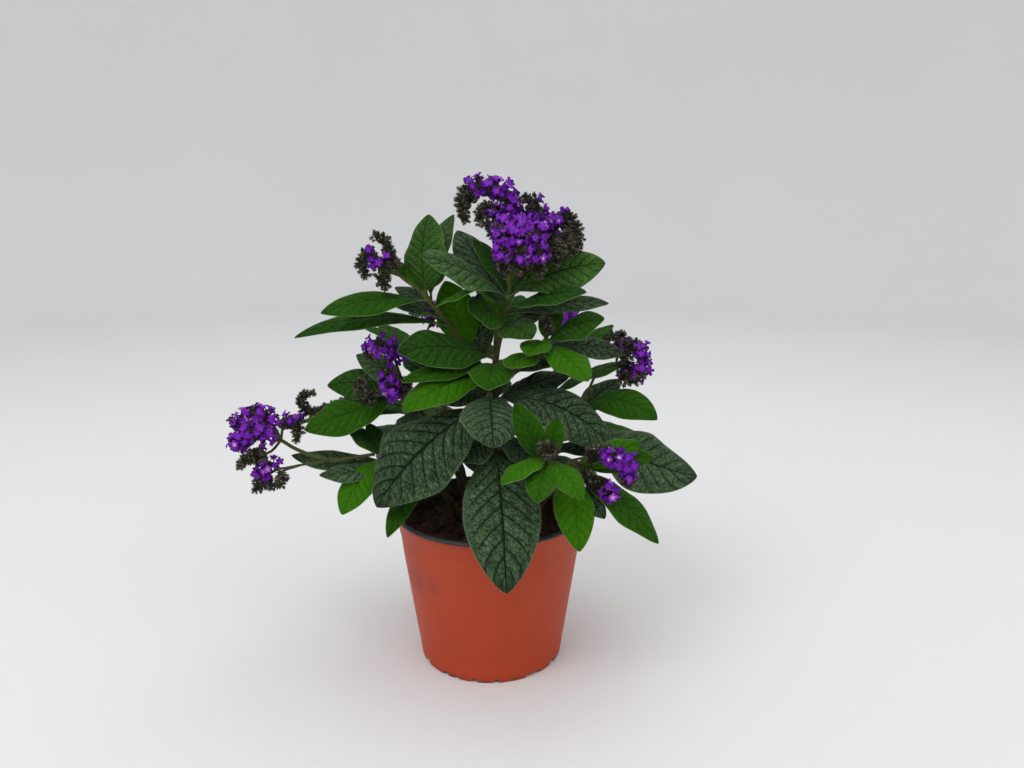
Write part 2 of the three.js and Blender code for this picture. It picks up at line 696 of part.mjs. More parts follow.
function potShell() {
  const ledge = STACKING_LEDGE;
  const beadFoot = POT_HEIGHT - BEAD_DROP;
  const floorTop = FLOOR_RISE + WALL;
  const slopeEnd = PAD_RADIUS + PAD_SLOPE;
  const shell = solidFrom(turned([
    [0, 0],
    [PAD_RADIUS, 0],
    [slopeEnd, FLOOR_RISE],
    [FOOT_RADIUS - FOOT_RING.top, FLOOR_RISE],
    [FOOT_RADIUS - FOOT_RING.foot, 0],
    [FOOT_RADIUS, 0],
    [wallRadius(ledge.height) - ledge.step, ledge.height],
    [wallRadius(ledge.height), ledge.height + ledge.step],
    [WALL_TOP_RADIUS, beadFoot],
    [RIM_RADIUS, beadFoot + BEAD_CHAMFER.under],
    [RIM_RADIUS, POT_HEIGHT - BEAD_CHAMFER.over],
    [RIM_RADIUS - 1, POT_HEIGHT],
    [WALL_TOP_RADIUS - WALL, POT_HEIGHT],
    [wallRadius(ledge.height) - WALL - ledge.step, ledge.height],
    [wallRadius(floorTop) - WALL, floorTop],
    [slopeEnd + 0.6, floorTop],
    [PAD_RADIUS + 0.6, WALL],
    [0, WALL],
  ], POT_SIDES));
  return shell.subtract(fuse([...drainHoles(), ...footNotches()]));
}

function drainHoles() {
  const holes = [];
  for (let index = 0; index < DRAIN.count; index += 1) {
    const angle = (2 * Math.PI * (index + 0.5)) / DRAIN.count;
    const hole = new THREE.CylinderGeometry(DRAIN.radius, DRAIN.radius, 4 * WALL, 10);
    hole.rotateX(Math.PI / 2);
    hole.translate(DRAIN.ring * Math.cos(angle), DRAIN.ring * Math.sin(angle), FLOOR_RISE + WALL / 2);
    holes.push(solidFrom(hole));
  }
  return holes;
}

// Small arches and wider gaps through the foot ring, which let the water out
function footNotches() {
  const cutters = [];
  for (let repeat = 0; repeat < FOOT_PATTERN_REPEATS; repeat += 1) {
    const start = (360 / FOOT_PATTERN_REPEATS) * repeat;
    for (const angle of NOTCH_ANGLES) {
      const arch = new THREE.CylinderGeometry(FOOT_NOTCH.radius, FOOT_NOTCH.radius, CUT_LENGTH, 6);
      arch.rotateZ(Math.PI / 2);
      arch.translate(FOOT_RADIUS - 1, 0, FOOT_NOTCH.rise);
      arch.rotateZ(radians(start + angle));
      cutters.push(solidFrom(arch));
    }
    const gap = new THREE.BoxGeometry(CUT_LENGTH, WIDE_GAP.width, 2 * WIDE_GAP.height);
    gap.translate(FOOT_RADIUS - 1, 0, 0);
    gap.rotateZ(radians(start + WIDE_GAP.angle));
    cutters.push(solidFrom(gap));
  }
  return cutters;
}

// Height of the peat above its level: a low mound and a lumpy surface
function soilRise(x, y) {
  const out = Math.hypot(x, y);
  const mound = MOUND.height * Math.exp(-((out / MOUND.radius) ** 2));
  const broad = BROAD_LUMPS * Math.sin(0.31 * x + 1.3) * Math.cos(0.27 * y);
  const small = SMALL_LUMPS * Math.sin(0.71 * x - 0.53 * y);
  return mound + broad + small;
}

function soilBody() {
  const floorTop = FLOOR_RISE + WALL + CLEARANCE;
  const inside = (height) => wallRadius(height) - WALL - CLEARANCE;
  const edge = inside(SOIL_LEVEL - SOIL_EDGE_DROP) - STACKING_LEDGE.step;
  const profile = [
    [0, WALL + CLEARANCE],
    [PAD_RADIUS + 0.2, WALL + CLEARANCE],
    [PAD_RADIUS + PAD_SLOPE + 0.2, floorTop],
    [inside(floorTop) - CLEARANCE, floorTop],
    [edge, SOIL_LEVEL - SOIL_EDGE_DROP],
  ];
  for (let ring = 1; ring <= SOIL_RINGS; ring += 1) {
    profile.push([edge * (1 - ring / SOIL_RINGS), SOIL_LEVEL]);
  }
  const geometry = turned(profile, POT_SIDES);
  const position = geometry.attributes.position;
  for (let index = 0; index < position.count; index += 1) {
    const z = position.getZ(index);
    if (z < SOIL_LEVEL - 1) continue;
    position.setZ(index, z + soilRise(position.getX(index), position.getY(index)));
  }
  return solidFrom(geometry);
}

// The room that the foot of a stem takes up in the peat, and a little more all round
function footHole(name) {
  const rise = routeCurve(STEM_ROUTES[name]);
  const below = rise.getPoint(0).addScaledVector(rise.getTangent(0), -CLEARANCE);
  const points = [below, ...HOLE_SHARES.map((share) => rise.getPoint(share))];
  const curve = new THREE.CatmullRomCurve3(points, false, 'catmullrom', 0.5);
  return tube(curve, () => STEM_FOOT_RADIUS + CLEARANCE, HOLE_SHARES.length);
}

// The peat, with a plain hole round the foot of each stem that stands in it
function soilSolid() {
  const rooted = Object.keys(STEM_ROUTES).filter((name) => !BRANCH_OF[name]);
  return soilBody().subtract(fuse(rooted.map(footHole)));
}

function material(color, roughness) {
  return new THREE.MeshStandardMaterial({ color, roughness, metalness: 0, flatShading: true });
}

const TERRACOTTA = material(0xa8502f, 0.45);
const PEAT = material(0x3b2519, 0.95);
const FOLIAGE = material(0x3f6b31, 0.6);
const BLOSSOM = material(0x5b1fa0, 0.65);

const plant = new THREE.Group();
plant.name = 'potted_heliotrope';

function addPiece(name, solid, finish) {
  const mesh = new THREE.Mesh(geometryFrom(solid), finish);
  mesh.name = name;
  plant.add(mesh);
}

addPiece('pot', potShell(), TERRACOTTA);
addPiece('soil', soilSolid(), PEAT);
for (const name of Object.keys(STEM_ROUTES)) {
  addPiece(`stem_${name}`, leafyStem(name), FOLIAGE);
}
for (const [name, head] of Object.entries(HEADS)) {
  addPiece(name, flowerHead(head), BLOSSOM);
}

export default plant;
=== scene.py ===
import math
import random

import bmesh
import bpy
from mathutils import Matrix, Quaternion, Vector, noise


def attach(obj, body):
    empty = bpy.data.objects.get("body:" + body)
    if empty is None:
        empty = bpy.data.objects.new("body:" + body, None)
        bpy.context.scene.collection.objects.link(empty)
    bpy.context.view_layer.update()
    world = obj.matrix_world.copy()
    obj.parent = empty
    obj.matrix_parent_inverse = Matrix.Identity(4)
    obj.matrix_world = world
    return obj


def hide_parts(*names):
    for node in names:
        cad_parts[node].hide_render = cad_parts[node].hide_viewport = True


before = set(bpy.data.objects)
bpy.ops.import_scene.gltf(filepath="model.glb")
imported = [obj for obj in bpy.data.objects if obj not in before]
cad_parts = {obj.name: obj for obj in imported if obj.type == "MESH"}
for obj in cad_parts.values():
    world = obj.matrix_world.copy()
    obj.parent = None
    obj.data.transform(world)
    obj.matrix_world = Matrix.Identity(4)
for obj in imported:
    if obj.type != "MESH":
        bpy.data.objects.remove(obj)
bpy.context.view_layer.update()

MM = 0.001
UP = Vector((0.0, 0.0, 1.0))

# Pot
POT_HEIGHT = 110.0
RIM_RADIUS = 69.0
WALL_TOP_RADIUS = 67.3
FOOT_RADIUS = 51.5
WALL = 1.4
FLOOR_RISE = 4.0
PAD_RADIUS = 14.0
PAD_SLOPE = 5.0
BEAD_DROP = 3.0
LEDGE_HEIGHT = 95.0
LEDGE_STEP = 0.6
DRAIN_COUNT = 6
DRAIN_RING = 36.0
DRAIN_RADIUS = 4.0
NOTCH_RADIUS = 2.0
NOTCH_RISE = 0.5
NOTCH_ANGLES = (-150, -127, -117, -102, -85, -33)
GAP_ANGLE = -54
GAP_WIDTH = 11.0
GAP_HEIGHT = 2.0
FOOT_PATTERN_REPEATS = 3
POT_SIDES = 360
DRAIN_SIDES = 24
HIGHEST_NOTCH = 3.3
SMUDGE_PLACE = (-47.0, 71.0)

# Peat
SOIL_LEVEL = 98.0
MOUND_HEIGHT = 4.0
MOUND_RADIUS = 26.0
CLEARANCE = 0.3
CRUMBS = 520
FIBRES = 70
FIBRE_RADIUS = 0.18
PEAT_SIDES = 180
PEAT_RINGS = 46

# The pace and the height of each size of lump on the peat
LUMPS = ((0.16, 1.5), (0.45, 1.0), (1.1, 0.5))

# Stems and leaves
STEM_FOOT_RADIUS = 2.5
STEM_TIP_RADIUS = 1.6
STEM_SIDES = 12
STEM_STEPS = 46
STEM_HAIRS = 2.4
LEAF_FOOT_REACH = 0.014
LEAF_FOOT_SWELL = 0.22
HAIR_RADIUS = 0.06
BLADE_THICKNESS = 0.5
PETIOLE_SHARE = 0.09
PETIOLE_HALF_WIDTH = 1.1
TIP_HALF_WIDTH = 0.4
BELLY = 0.48
FULLNESS = 0.7
ROLL_GROWTH = 1.6
GOLDEN_ANGLE = 2.4
LOWEST_PITCH = -12.0
HIGHEST_PITCH = 34.0
FURTHER_ARCH = 0.14
QUILT_CELL = 2.3
QUILT_CELLS_PER_VEIN = 3.3
VEIN_SWEEP = 0.32
VEIN_SWELL = 0.065
TROUGH = 0.34
DROOP = 0.46
EDGE_WAVE = 0.07
RIB_SHARE = 0.93
RIB_RADII = (1.15, 0.28)
RIB_STEPS = 14
RIB_SIDES = 7
LARGE_LEAF = 40.0
SMALLEST_SIZE = 0.25

# What grows with a leaf's size: its value at no size and in a large leaf
LONG_STEPS = (22, 78)
HALF_CROSS_STEPS = (4, 14)
SIDE_VEINS = (5.0, 9.0)
QUILT_HEIGHT = (0.12, 0.55)
RIB_GROWTH = (0.6, 1.0)
HAIR_GROWTH = (0.6, 1.0)

# Flowers
STALK_RADIUS = 1.0
STALK_TIP_RADIUS = 0.6
MAIN_STALK_RADIUS = 1.5
STALK_SIDES = 8
STALK_GREEN = 0.85
STALK_HAIRS = 3
FLORET_HEIGHT = 3.7
FLORET_PITCH = 4.4
FLORET_ROOM = 5.6
BUD_PITCH = 2.7
BUD_ROOM = 3.2
FLORET_ARC = 250.0
BUDS_BEGIN = 0.45
CLOSED_SHARE = 0.13
TUFT_BUDS = 4
BUD_DROP = 2.6
CURL_RADIUS = 2.4
FLAT_SIDE = math.cos(math.pi / 5)
LOBE_ANGLE = math.tau / 5
SHOULDER_ANGLE = math.radians(17)
CLEFT_REACH = 0.6

# The spread and the cup of each kind of floret
FLORET_SHAPES = ((3.9, 0.2), (3.8, -0.3), (3.5, 1.0), (3.7, 0.5), (4.0, 0.0), (3.3, 1.4))

# The length, the girth and the splay of the sepals of each kind of bud
BUD_SHAPES = ((3.7, 0.95, 1.3), (3.1, 0.9, 1.9))

# The order of the finishes on leafy stems, and of the first two on flower heads
LEAF_TOP, LEAF_UNDER, STEM_SKIN, HAIR = range(4)
PETAL, BUD_SKIN = range(2)

# Studio
CAMERA_PLACE = (15.4, -527.0, 312.0)
CAMERA_PITCH = 12.0
FOCAL_PIXELS = 769.0
PICTURE_WIDTH = 1024.0
SENSOR_WIDTH = 36.0
FLOOR_RADIUS = 2200.0
FLOOR_SIDES = 96
SWEEP_RADIUS = 900.0
SWEEP_STEPS = 12
BACKDROP_TOP = 2600.0
LIT_HEART = Vector((0.0, 0.0, 0.18))

STEM_ROUTES = {
    "leader": [(0, 2, 80), (-2, 3, 150), (4, 2, 215), (14, 0, 263)],
    "upper_left": [(2, 4, 196), (-9, 7, 214), (-25, 6, 237), (-46, -8, 266)],
    "upper_right": [(3, 3, 190), (14, 0, 206), (28, -6, 218), (39, -12, 234)],
    "left": [(-17, -2, 80), (-30, -7, 118), (-52, -14, 140), (-78, -20, 154)],
    "mid_left": [(-9, 10, 80), (-26, 10, 135), (-44, 4, 172), (-66, -6, 196)],
    "front": [(2, -12, 80), (6, -17, 125), (4, -22, 165), (0, -27, 200)],
    "rosette": [(12, -22, 80), (28, -38, 118), (36, -54, 145), (38, -67, 170)],
    "low_right": [(19, -12, 80), (32, -24, 115), (46, -36, 140), (54, -44, 158)],
    "mid_right": [(18, 3, 80), (34, 4, 125), (52, 4, 162), (68, 2, 192)],
    "back_left": [(-10, 20, 80), (-24, 34, 130), (-38, 52, 175), (-48, 62, 212)],
    "back_right": [(10, 22, 80), (26, 38, 130), (42, 56, 172), (52, 66, 208)],
    "back": [(0, 20, 80), (0, 30, 140), (2, 42, 195), (4, 50, 240)],
}

# How fresh a leaf's green is, from the old dark ones to the young bright ones
DARK, GREY, SILKY, MIDDLE, FRESH, BRIGHT = 0.0, 0.2, 0.34, 0.45, 0.72, 1.0

# For each, the colour of the blade, of its veins and of the painted shade in its hollows, and the painted
# highlight of its crests
TOP_GREENS = {
    DARK: ((0.074, 0.128, 0.060), (0.004, 0.009, 0.005), (0.21, 0.29, 0.185)),
    GREY: ((0.094, 0.165, 0.074), (0.007, 0.018, 0.007), (0.25, 0.36, 0.20)),
    SILKY: ((0.082, 0.19, 0.036), (0.012, 0.038, 0.005), (0.2, 0.36, 0.12)),
    MIDDLE: ((0.028, 0.096, 0.009), (0.007, 0.026, 0.003), (0.075, 0.18, 0.04)),
    FRESH: ((0.027, 0.108, 0.003), (0.013, 0.052, 0.002), (0.06, 0.18, 0.014)),
    BRIGHT: ((0.047, 0.175, 0.003), (0.026, 0.11, 0.002), (0.095, 0.28, 0.014)),
}
UNDER_GREENS = {
    DARK: ((0.075, 0.12, 0.06), (0.11, 0.17, 0.085), (0.09, 0.14, 0.07)),
    MIDDLE: ((0.085, 0.16, 0.05), (0.12, 0.2, 0.07), (0.1, 0.18, 0.06)),
    BRIGHT: ((0.10, 0.23, 0.03), (0.16, 0.3, 0.06), (0.12, 0.26, 0.04)),
}

# The leaves that show from the front. Each row: share of the stem's route where the leaf
# grows, its tip, width, arch, roll in degrees, green, and the heading of an upright leaf.
LEAVES = {
    "leader": [
        (0.68, (-59, -32, 228), 38, 0.16, 40, MIDDLE),
        (0.66, (0, -56, 208), 30, 0.16, 5, FRESH),
        (0.62, (-54, -52, 193), 30, 0.16, 25, BRIGHT),
        (0.66, (-56, -40, 210), 20, 0.08, 25, FRESH),
        (0.99, (78, -6, 284), 40, 0.14, -50, SILKY),
        (0.92, (63, -32, 267), 24, 0.12, -30, MIDDLE),
        (0.97, (-41, -40, 290), 34, 0.12, 42, GREY),
        (0.88, (-12, -24, 253), 30, 0.14, 45, MIDDLE),
        (0.89, (81, -5, 257), 20, 0.12, -35, GREY),
        (0.81, (28, -40, 238), 24, 0.2, -20, MIDDLE),
        (0.92, (-24, 40, 305), 36, 0.06, 10, GREY),
        (0.96, (-12, 18, 299), 18, 0.2, 40, MIDDLE, 170),
        (0.78, (45, 0, 255), 22, 0.18, -30, GREY),
        (0.5, (57, 12, 204), 32, 0.12, -20, DARK),
        (0.55, (-37, -34, 194), 24, 0.1, 20, DARK),
        (0.98, (35, 12, 286), 18, 0.1, -60, MIDDLE),
    ],
    "upper_left": [
        (0.94, (-41, 3, 316), 39, 0.2, 12, SILKY, 60),
        (0.9, (-25, 18, 316), 22, 0.24, -15, SILKY, 40),
        (0.86, (-8, -27, 268), 16, 0.1, -25, BRIGHT),
        (0.96, (-72, 10, 289), 10, 0.08, 30, FRESH),
        (0.92, (-109, -28, 253), 26, 0.12, 35, FRESH),
        (0.7, (-131, -14, 235), 21, 0.19, 30, MIDDLE),
        (0.82, (-69, 30, 265), 14, 0.1, 30, DARK),
        (0.76, (-68, -2, 257), 14, 0.1, 30, GREY),
        (0.45, (-31, 10, 271), 30, 0.02, 0, BRIGHT, 90),
        (0.97, (-33, 4, 290), 18, 0.1, 0, BRIGHT, 80),
        (0.3, (-8, 14, 262), 22, 0.02, 0, DARK, 90),
    ],
    "upper_right": [
        (0.88, (93, -4, 222), 24, 0.12, -35, DARK),
        (0.91, (64, -48, 212), 26, 0.15, -15, BRIGHT),
        (0.97, (25, -44, 228), 20, 0.14, 10, BRIGHT),
        (0.8, (12, -38, 219), 22, 0.06, 10, BRIGHT),
        (0.78, (66, 6, 202), 26, 0.12, -25, DARK),
        (0.94, (76, -24, 249), 28, 0.12, -38, MIDDLE),
        (0.35, (50, 14, 224), 28, 0.1, -25, DARK),
    ],
    "left": [
        (0.97, (-97, -48, 122), 27, 0.15, 10, BRIGHT),
        (0.88, (-142, 0, 148), 20, -0.04, 30, GREY),
        (0.84, (-113, -38, 146), 20, -0.06, 24, GREY),
        (0.9, (-101, -4, 172), 22, 0.12, 0, MIDDLE),
        (0.86, (-88, 4, 171), 16, 0.1, 0, MIDDLE),
        (0.93, (-71, -22, 171), 6, 0.05, 0, GREY),
        (0.6, (-65, -62, 112), 16, 0.14, 10, FRESH),
    ],
    "mid_left": [
        (0.92, (-96, 16, 218), 22, 0.26, 30, GREY),
        (0.94, (-125, -24, 173), 32, 0.03, 40, FRESH),
        (0.93, (-115, 4, 198), 26, 0.2, 50, MIDDLE),
        (0.88, (-101, 18, 197), 18, 0.1, 30, DARK),
        (0.74, (-145, 20, 166), 16, 0.1, 12, FRESH),
        (0.78, (-58, -30, 168), 18, 0.14, 15, DARK),
    ],
    "front": [
        (0.93, (-72, -58, 131), 60, 0.16, 36, DARK),
        (0.68, (12, -90, 87), 50, 0.18, -4, DARK),
        (0.99, (4, -75, 176), 40, 0.16, 4, GREY),
        (0.96, (83, -30, 161), 45, 0.28, -34, DARK),
        (0.66, (-24, -44, 158), 30, 0.14, 20, DARK),
        (0.72, (30, -30, 150), 28, 0.14, -10, DARK),
    ],
    "rosette": [
        (0.96, (9, -88, 157), 20, 0.16, 0, BRIGHT),
        (0.94, (57, -92, 149), 20, 0.16, -10, BRIGHT),
        (0.92, (30, -98, 149), 20, 0.16, 0, FRESH),
        (0.88, (17, -66, 202), 18, 0.06, 0, FRESH, 90),
        (0.94, (44, -64, 192), 14, 0.05, 0, FRESH, 90),
    ],
    "low_right": [
        (0.9, (57, -84, 112), 26, 0.16, 0, BRIGHT),
        (0.92, (111, -58, 106), 28, 0.14, -25, FRESH),
        (0.89, (98, -54, 173), 18, 0, -60, BRIGHT),
        (0.94, (107, -50, 162), 20, 0.04, -55, FRESH),
        (0.7, (74, -70, 128), 22, 0.14, -10, DARK),
    ],
    "mid_right": [
        (0.79, (150, 6, 130), 50, -0.12, -50, GREY),
        (0.9, (113, -26, 181), 28, 0.31, -38, FRESH),
        (0.85, (47, -34, 169), 26, 0.12, 0, DARK),
        (0.8, (94, 20, 199), 26, 0.08, -20, DARK),
        (0.6, (66, -34, 158), 26, 0.12, 0, DARK),
    ],
    "back": [
        (0.2, (-20, 70, 142), 28, 0.12, 0, DARK),
        (0.22, (22, 70, 140), 28, 0.12, 0, DARK),
    ],
}

# The leaves of the sides and the back, placed by rule. Each row: stem, first and last
# share, count, the way they face in degrees, spread, reach, width and green.
FURTHER_LEAVES = [
    ("back_left", 0.3, 0.93, 7, 148, 46, 84, 42, 0.1),
    ("back_right", 0.3, 0.93, 7, 30, 56, 88, 42, 0.1),
    ("back", 0.45, 0.98, 6, 92, 34, 76, 38, 0.2),
    ("leader", 0.35, 0.5, 2, 100, 60, 34, 22, 0.2),
    ("mid_right", 0.4, 0.6, 2, 20, 50, 62, 34, 0.1),
    ("rosette", 0.45, 0.75, 2, 120, 30, 28, 16, 0.1),
    ("upper_right", 0.5, 0.95, 2, 60, 40, 44, 22, 0.4),
    ("upper_left", 0.45, 0.95, 2, 120, 50, 46, 22, 0.5),
]

# The flower heads. Each branch gives its route, the shares of it between which the
# florets are open, with buds beyond, and the thickness of its crowded part. A branch
# with no shares carries buds alone, and one with no thickness is bare.
HEADS = {
    "head_top": [
        ([(14, 0, 263), (14, 0, 272), (15, 0, 286)], None, None),
        ([(15, 0, 285), (17, 8, 304), (14, 6, 326), (3, 2, 332), (-9, 0, 333),
          (-18, -2, 323), (-15, -5, 312)], (0.33, 0.74), 5.5),
        ([(15, 0, 278), (11, -3, 295), (3, -7, 303), (-3, -9, 311)], None, 2.8),
        ([(15, 0, 284), (25, 6, 298), (31, 5, 311), (31, 3, 322), (24, 0, 327)], (0.45, 0.85), 4.0),
        ([(15, 0, 279), (13, -12, 298), (11, -20, 309), (11, -30, 297), (11, -31, 285),
          (10, -25, 277)], (0.3, 0.8), 4.4),
        ([(15, 0, 280), (19, -12, 299), (21, -22, 309), (21, -31, 298), (21, -32, 286),
          (21, -26, 277)], (0.35, 0.82), 4.2),
        ([(15, 0, 281), (25, -10, 298), (30, -17, 308), (31, -27, 299), (32, -28, 286),
          (33, -22, 277)], (0.3, 0.8), 4.4),
        ([(15, 0, 282), (33, 4, 292), (43, 4, 304), (47, 2, 314), (55, 0, 311), (60, -2, 302),
          (59, -5, 293)], (0.42, 0.66), 4.0),
        ([(15, 0, 276), (31, -4, 287), (42, -8, 294), (52, -11, 299), (56, -13, 292)], None, 3.6),
        ([(15, 0, 280), (8, 18, 303), (3, 26, 318), (-6, 34, 320), (-8, 40, 311)], (0.45, 0.65), 4.4),
        ([(15, 0, 277), (31, 20, 299), (38, 29, 305), (45, 37, 300), (44, 42, 291)], (0.45, 0.65), 4.4),
        ([(15, 0, 279), (30, -6, 290), (40, -14, 297), (48, -19, 293), (45, -18, 285)], None, 4.0),
        ([(15, 0, 281), (33, 2, 291), (46, -3, 299), (54, -8, 303), (52, -10, 296)], None, 4.0),
    ],
    "head_far_left": [
        ([(-79, -20, 155), (-95, -19, 152), (-111, -17, 150), (-132, -15, 156), (-145, -13, 163)],
         None, None),
        ([(-145, -13, 163), (-150, -10, 172), (-157, -9, 180), (-168, -10, 181), (-176, -13, 173)],
         (0.35, 0.95), 3.6),
        ([(-145, -13, 163), (-150, -21, 165), (-155, -27, 173), (-163, -29, 170), (-173, -25, 162)],
         (0.3, 0.92), 3.6),
        ([(-145, -13, 163), (-143, -12, 172), (-137, -12, 179), (-132, -14, 173), (-134, -15, 164)],
         (0.3, 0.6), 3.0),
        ([(-111, -17, 150), (-132, -17, 146), (-146, -18, 144), (-153, -21, 148), (-158, -22, 138),
          (-162, -20, 129)], (0.62, 0.8), 3.4),
        ([(-145, -13, 163), (-158, 0, 164), (-170, 7, 165), (-180, 10, 158), (-178, 9, 149)],
         (0.35, 0.7), 3.6),
        ([(-145, -13, 163), (-149, -24, 158), (-160, -26, 155), (-168, -25, 152), (-171, -21, 147)],
         None, 4.0),
        ([(-132, -17, 146), (-142, -26, 144), (-142, -27, 137), (-150, -25, 134)], None, 3.4),
        ([(-146, -18, 144), (-152, -20, 141), (-156, -21, 137), (-157, -20, 132)], None, 3.0),
    ],
    "head_upper_left": [
        ([(-46, -10, 266), (-59, -8, 275), (-65, -7, 284), (-67, -6, 293), (-70, -6, 301),
          (-76, -6, 302)], None, 3.6),
        ([(-60, -8, 276), (-70, -12, 282), (-77, -13, 290), (-85, -12, 284), (-82, -9, 276)],
         (0.4, 0.55), 3.4),
        ([(-60, -8, 276), (-66, -14, 278), (-72, -16, 273), (-68, -15, 269)], None, 3.4),
        ([(-60, -8, 276), (-66, -9, 280), (-72, -10, 284), (-76, -10, 282)], None, 3.2),
    ],
    "head_left_high": [
        ([(-58, -2, 190), (-62, 2, 203), (-66, -3, 218), (-70, -8, 228), (-78, -9, 230),
          (-82, -9, 221)], (0.5, 0.92), 3.4),
    ],
    "head_left_mid": [
        ([(-66, -6, 196), (-64, -20, 199), (-67, -26, 207), (-70, -22, 213)], (0.4, 0.9), 3.0),
        ([(-66, -6, 196), (-59, -14, 199), (-56, -20, 204), (-61, -22, 209)], None, 3.4),
        ([(-66, -6, 196), (-74, -15, 198), (-83, -26, 197), (-87, -25, 204), (-82, -22, 208)], None, 3.4),
    ],
    "head_left_tip": [
        ([(-51, 2, 181), (-86, 0, 188), (-111, 2, 182), (-124, -3, 180), (-131, -6, 186),
          (-129, -7, 194), (-123, -7, 195)], None, 3.2),
    ],
    "head_right": [
        ([(68, 2, 192), (76, 5, 207), (89, 6, 212), (102, 1, 205), (106, -2, 217), (102, 0, 227),
          (93, 2, 229)], (0.45, 0.85), 3.2),
        ([(89, 6, 212), (91, -2, 206), (99, -4, 203), (105, -3, 206)], None, 3.4),
        ([(89, 6, 212), (90, 8, 222), (94, 10, 229), (88, 8, 233), (82, 6, 231)], (0.3, 0.55), 3.4),
        ([(89, 6, 212), (92, 3, 216), (96, 1, 221), (98, 0, 225)], None, 3.0),
    ],
    "head_low_right": [
        ([(54, -44, 158), (67, -55, 159), (80, -61, 165), (89, -64, 161), (88, -63, 149)],
         (0.5, 0.95), 3.0),
        ([(54, -44, 158), (66, -55, 151), (74, -60, 145), (81, -58, 138)], (0.75, 0.95), 3.0),
        ([(54, -44, 158), (64, -51, 163), (73, -54, 169), (79, -54, 168)], None, 3.0),
        ([(54, -44, 158), (63, -56, 151), (70, -58, 147), (76, -58, 142)], None, 3.4),
    ],
    "head_rosette": [
        ([(36, -68, 170), (36, -72, 174), (32, -74, 176)], None, 2.6),
        ([(36, -68, 170), (38, -72, 175), (42, -74, 174)], None, 2.6),
    ],
    "head_right_bud": [
        ([(39, -12, 234), (40, -15, 242), (38, -16, 249)], None, 2.4),
    ],
    "head_back_left": [
        ([(-48, 62, 212), (-50, 64, 228), (-46, 66, 240), (-54, 70, 247), (-62, 74, 240)],
         (0.45, 0.8), 3.6),
    ],
    "head_back_right": [
        ([(52, 66, 208), (54, 68, 222), (52, 72, 234), (60, 78, 240), (68, 80, 232)],
         (0.45, 0.8), 3.6),
    ],
}


def lerp(low, high, share):
    return low + (high - low) * share


def clamp(value, low=0.0, high=1.0):
    return max(low, min(high, value))


def compass(angle, pitch=0.0):
    """The level direction at an angle, or one that rises by a pitch."""
    level = math.cos(pitch)
    return Vector((math.cos(angle) * level, math.sin(angle) * level, math.sin(pitch)))


def swung(one, other, angle):
    """A direction between two that stand square to each other."""
    return one * math.cos(angle) + other * math.sin(angle)


# Shader values and finishes

class Tone:
    """A shader socket that takes part in sums like a number."""

    def __init__(self, finish, socket):
        self.finish = finish
        self.socket = socket

    def __add__(self, other):
        return self.finish.maths("ADD", self, other)

    def __radd__(self, other):
        return self.finish.maths("ADD", other, self)

    def __sub__(self, other):
        return self.finish.maths("SUBTRACT", self, other)

    def __rsub__(self, other):
        return self.finish.maths("SUBTRACT", other, self)

    def __mul__(self, other):
        return self.finish.maths("MULTIPLY", self, other)

    def __rmul__(self, other):
        return self.finish.maths("MULTIPLY", other, self)

    def __abs__(self):
        return self.finish.maths("ABSOLUTE", self)


